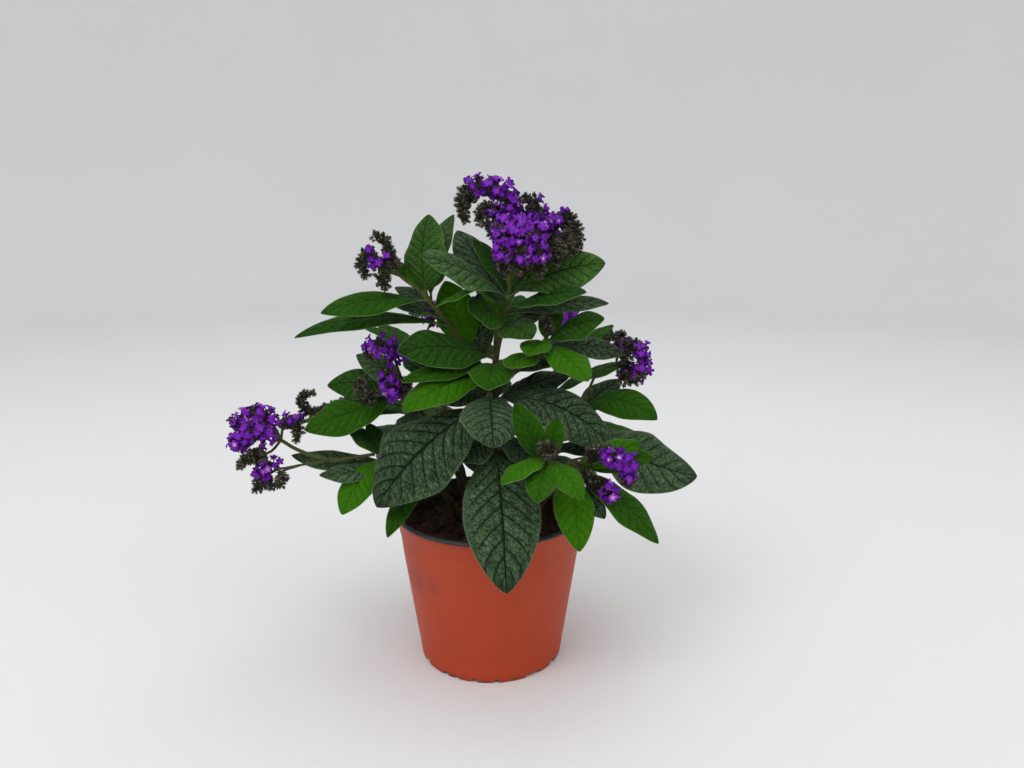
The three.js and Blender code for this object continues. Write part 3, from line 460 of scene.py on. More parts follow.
class Finish:
    """A material whose nodes are laid one by one in front of its Principled shader."""

    def __init__(self, name, **constants):
        self.material = bpy.data.materials.new(name)
        self.material.use_nodes = True
        self.tree = self.material.node_tree
        self.shader = self.tree.nodes["Principled BSDF"]
        for socket, value in constants.items():
            self.shader.inputs[socket.replace("_", " ")].default_value = value

    def node(self, kind, settings=None, sockets=None, output=0):
        made = self.tree.nodes.new(kind)
        for name, value in (settings or {}).items():
            if name == "stops":
                self.set_stops(made.color_ramp, value)
            else:
                setattr(made, name, value)
        for name, value in (sockets or {}).items():
            self.feed(made.inputs[name], value)
        return Tone(self, made.outputs[output])

    def set_stops(self, ramp, stops):
        while len(ramp.elements) < len(stops):
            ramp.elements.new(1.0)
        for element, (place, colour) in zip(ramp.elements, stops):
            element.position = place
            element.color = (*colour, 1.0)

    def feed(self, socket, value):
        if isinstance(value, Tone):
            self.tree.links.new(value.socket, socket)
        elif socket.type == "RGBA":
            socket.default_value = (*value, 1.0)
        else:
            socket.default_value = value

    def maths(self, operation, *values):
        return self.node("ShaderNodeMath", {"operation": operation}, dict(enumerate(values)))

    def smooth(self, value, low, high, top=1.0):
        """A mask that eases from none to its top as a value goes from low to high."""
        return self.node("ShaderNodeMapRange", {"interpolation_type": "SMOOTHSTEP"},
                         {0: value, 1: low, 2: high, 3: 0.0, 4: top})

    def mix(self, share, one, other):
        return self.node("ShaderNodeMix", {"data_type": "RGBA"}, {0: share, 6: one, 7: other}, 2)

    def layered(self, colour, *layers):
        """Lay colours over one another, each through its own mask."""
        for mask, over in layers:
            colour = self.mix(mask, colour, over)
        return colour

    def ramp(self, share, stops):
        return self.node("ShaderNodeValToRGB", {"stops": stops}, {0: share})

    def attribute(self, name):
        return self.node("ShaderNodeAttribute", {"attribute_name": name}, output="Fac")

    def place(self):
        return self.node("ShaderNodeTexCoord", output="Object")

    def across_blade(self):
        return self.node("ShaderNodeUVMap", {"uv_map": "blade"})

    def axis(self, vector, name):
        return self.node("ShaderNodeSeparateXYZ", sockets={0: vector}, output=name)

    def stretched(self, vector, scale):
        return self.node("ShaderNodeMapping", sockets={"Vector": vector, "Scale": scale})

    def cloud(self, vector, scale, detail, roughness=0.5):
        return self.node("ShaderNodeTexNoise", {},
                         {"Vector": vector, "Scale": scale, "Detail": detail, "Roughness": roughness})

    def cells(self, vector, scale, feature, dimensions):
        return self.node("ShaderNodeTexVoronoi", {"feature": feature, "voronoi_dimensions": dimensions},
                         {"Vector": vector, "Scale": scale})

    def relief(self, height, depth, strength):
        bump = self.node("ShaderNodeBump", {}, {"Strength": strength, "Distance": depth, "Height": height})
        self.feed(self.shader.inputs["Normal"], bump)

    def wear(self, **inputs):
        for socket, value in inputs.items():
            self.feed(self.shader.inputs[socket.replace("_", " ")], value)
        return self.material


def leaf_finish(name, greens, under):
    """Net-veined, softly hairy leaf. Young leaves are bright, old ones dark with silky crests, glossy under
    a real coat and lightened by a painted highlight; the hollows and the sides of the veins carry painted
    shade.
    """
    finish = Finish(name, Sheen_Weight=0.12 if under else 0.03, Sheen_Roughness=0.4,
                    Sheen_Tint=(0.75, 0.9, 0.75, 1.0), Specular_IOR_Level=0.05, Coat_Roughness=0.34)
    green = finish.attribute("green")
    puff = finish.attribute("puff")
    blade = finish.across_blade()
    place = finish.place()
    phase = finish.axis(blade, "X")

    ridge = abs(finish.maths("FRACT", phase) - 0.5) * 2.0
    off_middle = abs(finish.attribute("across"))
    inner = finish.smooth(1.0 - off_middle, 0.02, 0.3)
    side_vein = finish.smooth(ridge, 0.85, 0.97) * inner
    # painted shade on the sides that fall into the side veins
    vein_side_shade = finish.smooth(ridge, 0.45, 0.95) * inner
    middle = 1.0 - finish.smooth(off_middle, 0.014, 0.06)
    vein = finish.maths("MAXIMUM", side_vein, middle)
    net_place = finish.stretched(blade, (4.2, 1.25, 1.0))
    fine_net = 1.0 - finish.smooth(finish.cells(net_place, 1.0, "DISTANCE_TO_EDGE", "2D"), 0.02, 0.2)
    mottle = finish.cloud(place, 90.0, 3.0)
    wide_mottle = finish.cloud(place, 24.0, 2.0)
    hair = finish.cloud(place, 1700.0, 1.0)
    # crest: the raised pads of the quilting; it places the painted highlight, weaker beside the veins, and
    # the real coat gloss
    crest = finish.smooth(puff, 0.4, 0.95) * (1.0 - vein_side_shade * 0.5) * (1.0 - vein)
    # painted shade in the hollows between the pads of the quilting
    valley_shade = 1.0 - finish.smooth(puff, 0.02, 0.34)
    age = 1.0 - finish.smooth(green, 0.05, 0.42)

    # body is the blade's own colour, dark that of its veins and of the painted shade, pale the painted
    # highlight on the crests
    body, dark, pale = (finish.ramp(green, [(stop, shades[part]) for stop, shades in greens.items()])
                        for part in range(3))
    edge = finish.mix(green, (0.15, 0.23, 0.12), (0.22, 0.46, 0.09))
    colour = finish.layered(
        body,
        (finish.smooth(wide_mottle, 0.4, 0.75, 0.15), dark),
        # painted highlight on the crests
        (crest * (0.5 - 0.2 * green) * finish.smooth(mottle + hair * 0.3, 0.1, 0.8), pale),
        # painted shade: in the hollows, then on the sides of the veins
        (valley_shade * (0.6 - 0.25 * green), dark),
        (vein_side_shade * (0.32 - 0.14 * green), dark),
        (fine_net * (0.72 - 0.45 * green), dark),
        (vein * (0.5 if under else 0.95 - 0.3 * green), dark),
        (finish.smooth(off_middle, 0.955, 0.99, 0.5), edge),
    )
    height = (1.0 - fine_net) * 0.35 + puff * 0.3 - side_vein * 0.5 - middle * 0.5
    finish.relief(height * (-1.0 if under else 1.0) + hair * 0.15, 0.0006, 0.9)
    rough = 0.5 + 0.16 * mottle + 0.1 * vein - 0.1 * crest
    return finish.wear(Base_Color=colour, Roughness=rough, Coat_Weight=age * crest * 0.3)


def stem_finish():
    """Hairy round stem: woody brown at the foot, olive with purple patches above."""
    finish = Finish("stem_skin", Sheen_Weight=0.06, Sheen_Roughness=0.45, Specular_IOR_Level=0.15)
    rise = finish.attribute("green")
    place = finish.place()
    streak = finish.cloud(finish.stretched(place, (1.0, 1.0, 0.15)), 700.0, 3.0)
    patch = finish.cloud(place, 60.0, 2.0)
    bark = finish.ramp(rise, [(0.0, (0.018, 0.011, 0.007)), (0.35, (0.026, 0.019, 0.010)),
                              (0.7, (0.052, 0.056, 0.015)), (1.0, (0.09, 0.122, 0.022))])
    colour = finish.layered(bark, (finish.smooth(patch, 0.42, 0.66, 0.6), (0.035, 0.015, 0.017)),
                            (finish.smooth(streak, 0.5, 0.8, 0.3), (0.15, 0.15, 0.085)))
    finish.relief(streak, 0.0003, 0.7)
    return finish.wear(Base_Color=colour, Roughness=0.55 + 0.2 * streak)


def hair_finish():
    """Fine pale hairs."""
    finish = Finish("plant_hair", Specular_IOR_Level=0.3)
    shade = finish.cloud(finish.place(), 300.0, 1.0)
    colour = finish.mix(shade, (0.2, 0.3, 0.14), (0.42, 0.5, 0.32))
    return finish.wear(Base_Color=colour, Roughness=0.5 + 0.2 * shade)


def petal_finish():
    """Deep violet petals. A few florets are lighter, with a pale throat; clouds of painted highlight
    lighten the petals in patches.
    """
    finish = Finish("petal", Sheen_Weight=0.05, Sheen_Roughness=0.4, Sheen_Tint=(0.8, 0.6, 1.0, 1.0),
                    Specular_IOR_Level=0.12)
    reach = finish.attribute("reach")
    chance = finish.attribute("chance")
    place = finish.place()
    ray = finish.cloud(place, 900.0, 3.0)
    # cloud that places patches of painted highlight
    highlight_cloud = finish.cloud(place, 170.0, 2.0)
    deep = finish.mix(finish.smooth(chance, 0.05, 0.95), (0.050, 0.003, 0.14), (0.19, 0.014, 0.43))
    light = finish.mix(finish.smooth(chance, 0.9, 0.96), (0.23, 0.022, 0.52), (0.50, 0.17, 0.74))
    lobe = finish.layered(
        light,
        (finish.smooth(reach, 0.35, 0.8) * finish.smooth(chance, 0.985, 0.94), deep),
        # painted highlight in patches
        (finish.smooth(highlight_cloud, 0.5, 0.72, 0.65), (0.40, 0.075, 0.68)),
    )
    eye = finish.mix(finish.smooth(chance, 0.84, 0.9), lobe, (0.68, 0.42, 0.60))
    colour = finish.layered(lobe, (1.0 - finish.smooth(reach, 0.1, 0.45), eye),
                            (finish.smooth(ray, 0.52, 0.72, 0.4), (0.05, 0.003, 0.17)))
    finish.relief(ray, 0.0003, 0.7)
    return finish.wear(Base_Color=colour, Roughness=0.5 + 0.2 * ray)


def bud_finish():
    """Olive-green hairy sepals round a dark violet bud."""
    finish = Finish("bud_skin", Sheen_Weight=0.05, Sheen_Roughness=0.45, Specular_IOR_Level=0.15)
    reach = finish.attribute("reach")
    chance = finish.attribute("chance")
    fuzz = finish.cloud(finish.place(), 1400.0, 2.0)
    bud = finish.mix(finish.smooth(chance, 0.3, 0.95), (0.016, 0.010, 0.012), (0.07, 0.012, 0.11))
    colour = finish.layered(
        (0.018, 0.015, 0.009),
        (finish.smooth(chance, 0.1, 0.8), (0.072, 0.082, 0.025)),
        (finish.smooth(reach, 0.4, 0.85) * finish.smooth(chance, 0.15, 0.7), (0.185, 0.2, 0.1)),
        (finish.smooth(reach, 0.98, 1.02), bud),
        (finish.smooth(fuzz, 0.58, 0.8, 0.3), (0.26, 0.25, 0.17)),
    )
    finish.relief(fuzz, 0.0002, 0.7)
    return finish.wear(Base_Color=colour, Roughness=0.6 + 0.2 * fuzz)


def pot_finish():
    """Thin terracotta-coloured plastic: faint mould rings, scuffs, dust and a darker smudge."""
    finish = Finish("pot_plastic", Specular_IOR_Level=0.25)
    place = finish.place()
    x, y, z = (finish.axis(place, name) for name in "XYZ")
    cloudy = finish.cloud(place, 14.0, 3.0)
    grain = finish.cloud(place, 900.0, 2.0)
    rings = finish.cloud(finish.stretched(place, (0.02, 0.02, 1.0)), 260.0, 2.0)
    scuff = finish.cloud(finish.stretched(place, (1.0, 1.0, 0.35)), 120.0, 5.0, 0.7)
    speck = 1.0 - finish.smooth(finish.cells(place, 95.0, "F1", "3D"), 0.05, 0.09)
    right, above = x - SMUDGE_PLACE[0] * MM, z - SMUDGE_PLACE[1] * MM
    smudge = 1.0 - finish.smooth(finish.maths("SQRT", right * right + above * above), 0.004, 0.017)
    in_front = finish.smooth(0.0 - y, 0.0, 0.01)
    soil_line = 1.0 - finish.smooth(z, 0.0, 0.004)
    worn = finish.smooth(scuff, 0.4, 0.6)
    colour = finish.layered(
        (0.45, 0.052, 0.013),
        (finish.smooth(z, 0.0, 0.1), (0.43, 0.054, 0.017)),
        (finish.smooth(cloudy, 0.35, 0.7, 0.5), (0.38, 0.042, 0.012)),
        (finish.smooth(rings, 0.45, 0.7, 0.1), (0.5, 0.07, 0.025)),
        (finish.smooth(scuff, 0.62, 0.74, 0.25), (0.5, 0.1, 0.045)),
        (speck * finish.smooth(grain, 0.5, 0.6, 0.4), (0.55, 0.28, 0.2)),
        (smudge * worn * 0.5 * in_front, (0.16, 0.035, 0.02)),
        (soil_line * worn * 0.6, (0.08, 0.03, 0.018)),
    )
    finish.relief(grain * 0.3 + rings * 0.25 + scuff * 0.35, 0.0002, 0.45)
    return finish.wear(Base_Color=colour, Roughness=0.38 + 0.14 * cloudy + 0.1 * scuff)


def pot_lining_finish():
    """Black plastic of the inside and of the rolled rim, dusty with peat."""
    finish = Finish("pot_lining", Specular_IOR_Level=0.5)
    place = finish.place()
    dust = finish.cloud(place, 160.0, 4.0)
    grain = finish.cloud(place, 900.0, 2.0)
    colour = finish.mix(finish.smooth(dust, 0.5, 0.75, 0.6), (0.012, 0.012, 0.013), (0.07, 0.045, 0.032))
    finish.relief(grain * 0.4 + dust * 0.4, 0.0002, 0.5)
    return finish.wear(Base_Color=colour, Roughness=0.33 + 0.3 * dust)


def peat_finish():
    """Coarse damp peat, from near black to red-brown, with pale fibres."""
    finish = Finish("peat", Specular_IOR_Level=0.2)
    place = finish.place()
    chance = finish.attribute("chance")
    grit = finish.cloud(place, 900.0, 4.0, 0.7)
    colour = finish.layered(
        (0.016, 0.008, 0.006),
        (finish.smooth(finish.cloud(place, 130.0, 4.0), 0.35, 0.7), (0.075, 0.03, 0.018)),
        (finish.smooth(chance, 0.2, 1.0, 0.6), (0.17, 0.075, 0.045)),
        (finish.smooth(grit, 0.55, 0.8, 0.4), (0.2, 0.11, 0.07)),
    )
    finish.relief(grit, 0.0006, 0.9)
    return finish.wear(Base_Color=colour, Roughness=0.75 + 0.2 * grit)


def studio_finish():
    """Plain pale floor."""
    finish = Finish("pale_floor", Specular_IOR_Level=0.2)
    cloudy = finish.cloud(finish.place(), 1.5, 2.0)
    colour = finish.mix(cloudy, (0.8, 0.795, 0.79), (0.84, 0.835, 0.83))
    return finish.wear(Base_Color=colour, Roughness=0.75 + 0.05 * cloudy)


# Shapes

class Route:
    """A smooth line through a few points given in millimetres, measured in metres."""

    STEPS = 160

    def __init__(self, points):
        self.points = [Vector(point) * MM for point in points]
        marks = [self.at(step / self.STEPS) for step in range(self.STEPS + 1)]
        self.run = [0.0]
        for one, other in zip(marks, marks[1:]):
            self.run.append(self.run[-1] + (other - one).length)
        self.length = self.run[-1]

    def at(self, share):
        points = self.points
        spans = len(points) - 1
        span = min(int(clamp(share) * spans), spans - 1)
        t = clamp(share) * spans - span
        before = points[span - 1] if span else 2 * points[0] - points[1]
        after = points[span + 2] if span + 2 <= spans else 2 * points[-1] - points[-2]
        start, end = points[span], points[span + 1]
        leave, arrive = 0.5 * (end - before), 0.5 * (after - start)
        return (start + leave * t + (3 * (end - start) - 2 * leave - arrive) * t * t
                + (2 * (start - end) + leave + arrive) * t * t * t)

    def heading(self, share):
        return (self.at(share + 0.0005) - self.at(share - 0.0005)).normalized()

    def even(self, share):
        """The share of the route at a share of its length."""
        wanted = clamp(share) * self.length
        for step in range(self.STEPS):
            if self.run[step + 1] >= wanted:
                reach = self.run[step + 1] - self.run[step]
                return (step + (wanted - self.run[step]) / max(reach, 1e-9)) / self.STEPS
        return 1.0


def ring_matrix(centre, along, across, radius):
    across = (across - across.dot(along) * along).normalized()
    third = along.cross(across)
    matrix = Matrix((across * radius, third * radius, along * radius)).transposed().to_4x4()
    matrix.translation = centre
    return matrix, across


def values_of(bm, *names):
    return [bm.verts.layers.float.get(name) or bm.verts.layers.float.new(name) for name in names]


def edges_among(ring):
    wanted = set(ring)
    return [edge for edge in {edge for vert in ring for edge in vert.link_edges}
            if edge.verts[0] in wanted and edge.verts[1] in wanted]


def next_ring(bm, ring):
    """Draw a ring out, and give the new ring with the faces that lead to it."""
    made = bmesh.ops.extrude_edge_only(bm, edges=edges_among(ring))["geom"]
    return ([item for item in made if isinstance(item, bmesh.types.BMVert)],
            [item for item in made if isinstance(item, bmesh.types.BMFace)])


def tube(bm, stations, sides, marks, material=0):
    """Round tube through (centre, along, radius) stations, closed at both ends. Marks
    gives the values that every ring carries."""
    centre, along, radius = stations[0]
    matrix, across = ring_matrix(centre, along, Vector((0.29, 0.94, 0.13)), radius)
    first = ring = bmesh.ops.create_circle(bm, segments=sides, radius=1.0, matrix=matrix)["verts"]
    faces = []
    set_marks(ring, marks, 0)
    for index, (centre, along, radius) in enumerate(stations[1:], 1):
        step, across = ring_matrix(centre, along, across, radius)
        ring, between = next_ring(bm, ring)
        faces += between
        turn = step @ matrix.inverted()
        for vert in ring:
            vert.co = turn @ vert.co
        set_marks(ring, marks, index)
        matrix = step
    for end in (first, ring):
        faces += bmesh.ops.contextual_create(bm, geom=edges_among(end))["faces"]
    for face in faces:
        face.material_index = material
        face.smooth = True
    bmesh.ops.recalc_face_normals(bm, faces=faces)


def set_marks(ring, marks, index):
    for layer, values in marks.items():
        for vert in ring:
            vert[layer] = values[index]


def turned(bm, profile, steps):
    """Turn a profile of radii and heights round the upright axis."""
    points = [bm.verts.new((radius * MM, 0.0, height * MM)) for radius, height in profile]
    edges = [bm.edges.new(pair) for pair in zip(points, points[1:])]
    bmesh.ops.spin(bm, geom=points + edges, cent=(0, 0, 0), axis=(0, 0, 1), angle=math.tau,
                   steps=steps, use_merge=True)
    bmesh.ops.remove_doubles(bm, verts=bm.verts[:], dist=1e-6)
    bmesh.ops.recalc_face_normals(bm, faces=bm.faces[:])
    for face in bm.faces:
        face.smooth = True


def hair(bm, root, tip):
    """One fine hair: a slim three-sided spike."""
    along = (tip - root).normalized()
    side = along.orthogonal().normalized() * HAIR_RADIUS * MM
    foot = [bm.verts.new(root + Quaternion(along, math.tau * turn / 3) @ side) for turn in range(3)]
    point = bm.verts.new(tip)
    faces = [bm.faces.new((foot[turn], foot[(turn + 1) % 3], point)) for turn in range(3)]
    faces.append(bm.faces.new(foot[::-1]))
    for face in faces:
        face.material_index = HAIR


def new_object(name, bm, materials=()):
    mesh = bpy.data.meshes.new(name)
    bm.to_mesh(mesh)
    bm.free()
    for material in materials:
        mesh.materials.append(material)
    made = bpy.data.objects.new(name, mesh)
    bpy.context.scene.collection.objects.link(made)
    return made


def finished_piece(name, bm, nodes, materials):
    piece = new_object(name, bm, materials)
    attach(piece, "root")
    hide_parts(*nodes)
    return piece


# Leaves and stems

def half_width(share, width):
    along = (share - PETIOLE_SHARE) / (1.0 - PETIOLE_SHARE)
    if along <= 0.0:
        return PETIOLE_HALF_WIDTH
    if along >= 1.0:
        return TIP_HALF_WIDTH
    swell = math.sin(math.pi * along ** (math.log(0.5) / math.log(BELLY))) ** FULLNESS
    return max(width / 2 * swell, TIP_HALF_WIDTH, PETIOLE_HALF_WIDTH * (1.0 - along * 4.0))


class Blade:
    """The line and the turn of one leaf: a quadratic arch from its base to its tip."""

    def __init__(self, base, tip, arch, roll, heading):
        chord = tip - base
        ahead = Vector((chord.x, chord.y, 0.0)).normalized()
        if heading is not None:
            ahead = compass(math.radians(heading))
        self.side = ahead.cross(UP)
        lift = self.side.cross(chord).normalized()
        self.base, self.tip, self.roll = base, tip, math.radians(roll)
        self.crown = base.lerp(tip, 0.5) + lift * arch * chord.length

    def station(self, share):
        base, crown, tip = self.base, self.crown, self.tip
        centre = base * (1 - share) ** 2 + crown * 2 * share * (1 - share) + tip * share ** 2
        along = (2 * (1 - share) * (crown - base) + 2 * share * (tip - crown)).normalized()
        face = self.side.cross(along).normalized()
        face = Quaternion(along, -self.roll * min(1.0, share * ROLL_GROWTH)) @ face
        return centre, along, face.cross(along), face


def leaf_mesh(base, tip, width, arch, roll, green, heading, chance):
    """One quilted leaf with its round stalk, raised midrib beneath and hairy edge."""
    blade = Blade(base, tip, arch, roll, heading)
    size = clamp(width / LARGE_LEAF, SMALLEST_SIZE)
    bm = bmesh.new()
    green_mark, _, _ = values_of(bm, "green", "across", "puff")
    stations = quilted_blade(bm, blade, width, size, green, chance)
    rim = [(edge.verts[0].co.copy(), edge.verts[1].co.copy()) for edge in bm.edges if edge.is_boundary]
    upper = set(bm.faces)
    bm.normal_update()
    up_face = stations[len(stations) // 2][3]
    if sum(face.normal.dot(up_face) for face in bm.faces) < 0:
        bmesh.ops.reverse_faces(bm, faces=bm.faces[:])
    bmesh.ops.solidify(bm, geom=bm.faces[:], thickness=BLADE_THICKNESS * MM)
    bm.normal_update()
    for face in bm.faces:
        face.material_index = LEAF_TOP if face in upper else LEAF_UNDER
    bmesh.ops.recalc_face_normals(bm, faces=bm.faces[:])
    midrib(bm, blade, size, lerp(0.72, 1.0, green), green_mark)
    edge_hairs(bm, rim, stations, tip - base, lerp(*HAIR_GROWTH, size), chance)
    mesh = bpy.data.meshes.new("leaf")
    bm.to_mesh(mesh)
    bm.free()
    return mesh


def quilted_blade(bm, blade, width, size, green, chance):
    """Lay the upper face of a leaf, and give the stations of its midrib."""
    long_steps = int(lerp(*LONG_STEPS, size))
    side_veins = lerp(*SIDE_VEINS, size)
    ripple = chance.uniform(0.0, math.tau)
    wave = EDGE_WAVE * chance.uniform(0.6, 1.2)
    green_mark, across_mark, puff_mark = values_of(bm, "green", "across", "puff")
    uv = bm.loops.layers.uv.new("blade")
    bmesh.ops.create_grid(bm, x_segments=long_steps, y_segments=2 * int(lerp(*HALF_CROSS_STEPS, size)),
                          size=1.0)
    stations = {}
    flat = {}
    for vert in bm.verts:
        share = clamp((vert.co.x + 1.0) / 2)
        out = clamp(vert.co.y, -1.0, 1.0)
        key = round(share * long_steps)
        if key not in stations:
            stations[key] = (*blade.station(share), half_width(share, width) * MM)
        centre, _, across, face, half = stations[key]
        along = clamp((share - PETIOLE_SHARE) / (1 - PETIOLE_SHARE))
        far = abs(out)
        phase = side_veins * (along - VEIN_SWEEP * far ** 1.15 * (1.0 - 0.45 * along))
        flat[vert] = (phase, out * half / MM / QUILT_CELL)
        gaps = noise.voronoi(Vector((phase * QUILT_CELLS_PER_VEIN, flat[vert][1], ripple)))[0]
        puff = clamp((gaps[1] - gaps[0]) * 1.6)
        swell = abs(math.sin(math.pi * (phase + 0.5 * (out > 0)))) ** 0.9
        body = (1.0 - along ** 8) * min(1.0, along * 6)
        rise = half * (TROUGH * far - DROOP * far * far)
        rise += VEIN_SWELL * half * swell * (1 - far ** 4) * min(1.0, far * 3.5)
        rise += wave * half * math.sin(2.1 * math.tau * along + ripple + out) * far ** 3
        rise += lerp(*QUILT_HEIGHT, size) * MM * puff * (1 - far ** 6)
        vert.co = centre + across * half * out + face * rise * body
        vert[green_mark] = green
        vert[across_mark] = out
        vert[puff_mark] = puff * body
    for face in bm.faces:
        face.smooth = True
        side = 0.5 * (sum(flat[vert][1] for vert in face.verts) > 0)
        for loop in face.loops:
            phase, reach = flat[loop.vert]
            loop[uv].uv = (phase + side, reach)
    return [stations[key] for key in sorted(stations)]


def midrib(bm, blade, size, tint, green_mark):
    """Round stalk that runs on as a rib beneath the blade."""
    stations = []
    for step in range(RIB_STEPS + 1):
        share = RIB_SHARE * step / RIB_STEPS
        centre, along, _, face = blade.station(share)
        radius = lerp(*RIB_RADII, (step / RIB_STEPS) ** 0.7) * lerp(*RIB_GROWTH, size) * MM
        sink = lerp(0.2, 0.75, clamp(share * 5))
        stations.append((centre - face * radius * sink, along, radius))
    tube(bm, stations, RIB_SIDES, {green_mark: [tint] * len(stations)}, STEM_SKIN)


def edge_hairs(bm, rim, stations, chord, hair_length, chance):
    for one, other in rim:
        stretch = (other - one).length / MM
        if stretch < 0.2:
            continue
        for _ in range(2 if stretch > 1.2 else 1):
            root = one.lerp(other, chance.random())
            centre = min(stations, key=lambda station: (station[0] - root).length_squared)[0]
            away = (root - centre).normalized() + 0.5 * chord.normalized()
            away += 0.35 * Vector([chance.uniform(-1, 1) for _ in range(3)])
            length = hair_length * chance.uniform(0.6, 1.3) * MM
            hair(bm, root - away * 0.1 * MM, root + away.normalized() * length)


def shown_leaves(name):
    for share, tip, width, arch, roll, green, *heading in LEAVES.get(name, []):
        yield share, Vector(tip) * MM, width, arch, roll, green, heading[0] if heading else None


def further_leaves(name, route):
    for stem, first, last, count, outward, spread, reach, width, green in FURTHER_LEAVES:
        for leaf in range(count if stem == name else 0):
            rise = leaf / (count - 1)
            bearing = math.radians(outward + spread * math.sin(leaf * GOLDEN_ANGLE + 0.6))
            pitch = math.radians(lerp(LOWEST_PITCH, HIGHEST_PITCH, rise) + 10 * math.sin(leaf * 1.7))
            length = reach * (1 - 0.25 * rise) * (1 + 0.1 * math.sin(leaf * 3.1)) * MM
            share = lerp(first, last, rise)
            tip = route.at(share) + compass(bearing, pitch) * length
            yield share, tip, width * (1 - 0.2 * rise), FURTHER_ARCH, 0.0, clamp(green + 0.5 * rise), None


def leafy_stem(name, materials):
    chance = random.Random("stem " + name)
    route = Route(STEM_ROUTES[name])
    leaves = [*shown_leaves(name), *further_leaves(name, route)]
    bm = bmesh.new()
    green_mark, _, _ = values_of(bm, "green", "across", "puff")
    bm.loops.layers.uv.new("blade")
    lowest_green = 0.25 if route.points[0].z < SOIL_LEVEL * MM else 0.6
    stations, marks = [], []
    for step in range(STEM_STEPS + 1):
        share = step / STEM_STEPS
        nearest = max(math.exp(-((share - leaf[0]) / LEAF_FOOT_REACH) ** 2) for leaf in leaves)
        swell = 1.0 + LEAF_FOOT_SWELL * nearest
        radius = lerp(STEM_FOOT_RADIUS, STEM_TIP_RADIUS, share) * swell * 0.97
        if step == STEM_STEPS:
            radius *= 0.6
        stations.append((route.at(share), route.heading(share), radius * MM))
        marks.append(lerp(lowest_green, 1.0, share))
    tube(bm, stations, STEM_SIDES, {green_mark: marks}, STEM_SKIN)
    for _ in range(int(route.length / MM * STEM_HAIRS)):
        share = chance.uniform(0.12, 0.99)
        along = route.heading(share)
        out = Quaternion(along, chance.uniform(0, math.tau)) @ along.orthogonal().normalized()
        root = route.at(share) + out * lerp(STEM_FOOT_RADIUS, STEM_TIP_RADIUS, share) * 0.9 * MM
        hair(bm, root, root + (out + 0.4 * along).normalized() * chance.uniform(0.7, 1.5) * MM)
    for share, tip, width, arch, roll, green, heading in leaves:
        tint = clamp(green + chance.uniform(-0.09, 0.09))
        mesh = leaf_mesh(route.at(share), tip, width, arch, roll, tint, heading, chance)
        bm.from_mesh(mesh)
        bpy.data.meshes.remove(mesh)
    finished_piece("leafy_" + name, bm, ["stem_" + name], materials)


# Flower heads

class Sprig:
    """A small shape that is set many times, each time with its own place and tint."""

    def __init__(self, bm):
        self.mesh = bpy.data.meshes.new("sprig")
        bmesh.ops.recalc_face_normals(bm, faces=bm.faces[:])
        bm.to_mesh(self.mesh)
        bm.free()
        self.home = [0.0] * (len(self.mesh.vertices) * 3)
        self.mesh.vertices.foreach_get("co", self.home)

    def grow(self, bm, place, out, sizes, chance):
        """Set the shape at a place, turned outwards, with a drawn spin, size and tint."""
        spin, scale, tint = chance.uniform(0, math.tau), chance.uniform(*sizes), chance.random()
        turn = out.to_track_quat("Z", "Y") @ Quaternion(UP, spin)
        self.mesh.transform(Matrix.LocRotScale(place, turn, Vector((scale, scale, scale))))
        self.mesh.attributes["chance"].data.foreach_set("value", [tint] * len(self.mesh.vertices))
        bm.from_mesh(self.mesh)
        self.mesh.vertices.foreach_set("co", self.home)


def floret_sprig(spread, cup, chance):
    """Open floret: five uneven blunt lobes round a small sunken throat, on a funnel."""
    bm = bmesh.new()
    reach_mark, _, _ = values_of(bm, "reach", "chance", "green")
    lobes = [(chance.uniform(0.84, 1.1), chance.uniform(-0.8, 0.9)) for _ in range(5)]
    rings = [
        (0.5, -FLORET_HEIGHT - 0.6, 0.4),
        (0.8, -0.9, 0.5),
        (spread, cup, 1.0),
        (spread * 0.6, cup * 0.5 + 0.35, 0.6),
        (0.45, -0.35, 0.0),
    ]
    ring = bmesh.ops.create_circle(bm, segments=15, radius=1.0,
                                   matrix=Matrix.Rotation(LOBE_ANGLE / 2, 4, "Z"))["verts"]
    bmesh.ops.contextual_create(bm, geom=bm.edges[:])
    place_ring(ring, rings[0], lobes, reach_mark)
    for shape in rings[1:]:
        ring, _ = next_ring(bm, ring)
        place_ring(ring, shape, lobes, reach_mark)
    bmesh.ops.contextual_create(bm, geom=edges_among(ring))
    for face in bm.faces:
        face.smooth = True
        face.material_index = PETAL
    return Sprig(bm)


def place_ring(ring, shape, lobes, reach_mark):
    """Lay one ring with three points to a lobe: its two shoulders and the cleft beside it."""
    radius, height, reach = shape
    for vert in ring:
        angle = math.atan2(vert.co.y, vert.co.x)
        lobe = round(angle / LOBE_ANGLE)
        off = angle - lobe * LOBE_ANGLE
        size, lift = CLEFT_REACH, -0.3
        if abs(off) < 0.4 * LOBE_ANGLE:
            size, lift = lobes[lobe % 5]
            angle = lobe * LOBE_ANGLE + math.copysign(SHOULDER_ANGLE, off)
        if radius < 1.0:
            size, lift = 1.0, 0.0
        vert.co = (compass(angle) * radius * size + UP * (height + lift)) * MM
        vert[reach_mark] = reach


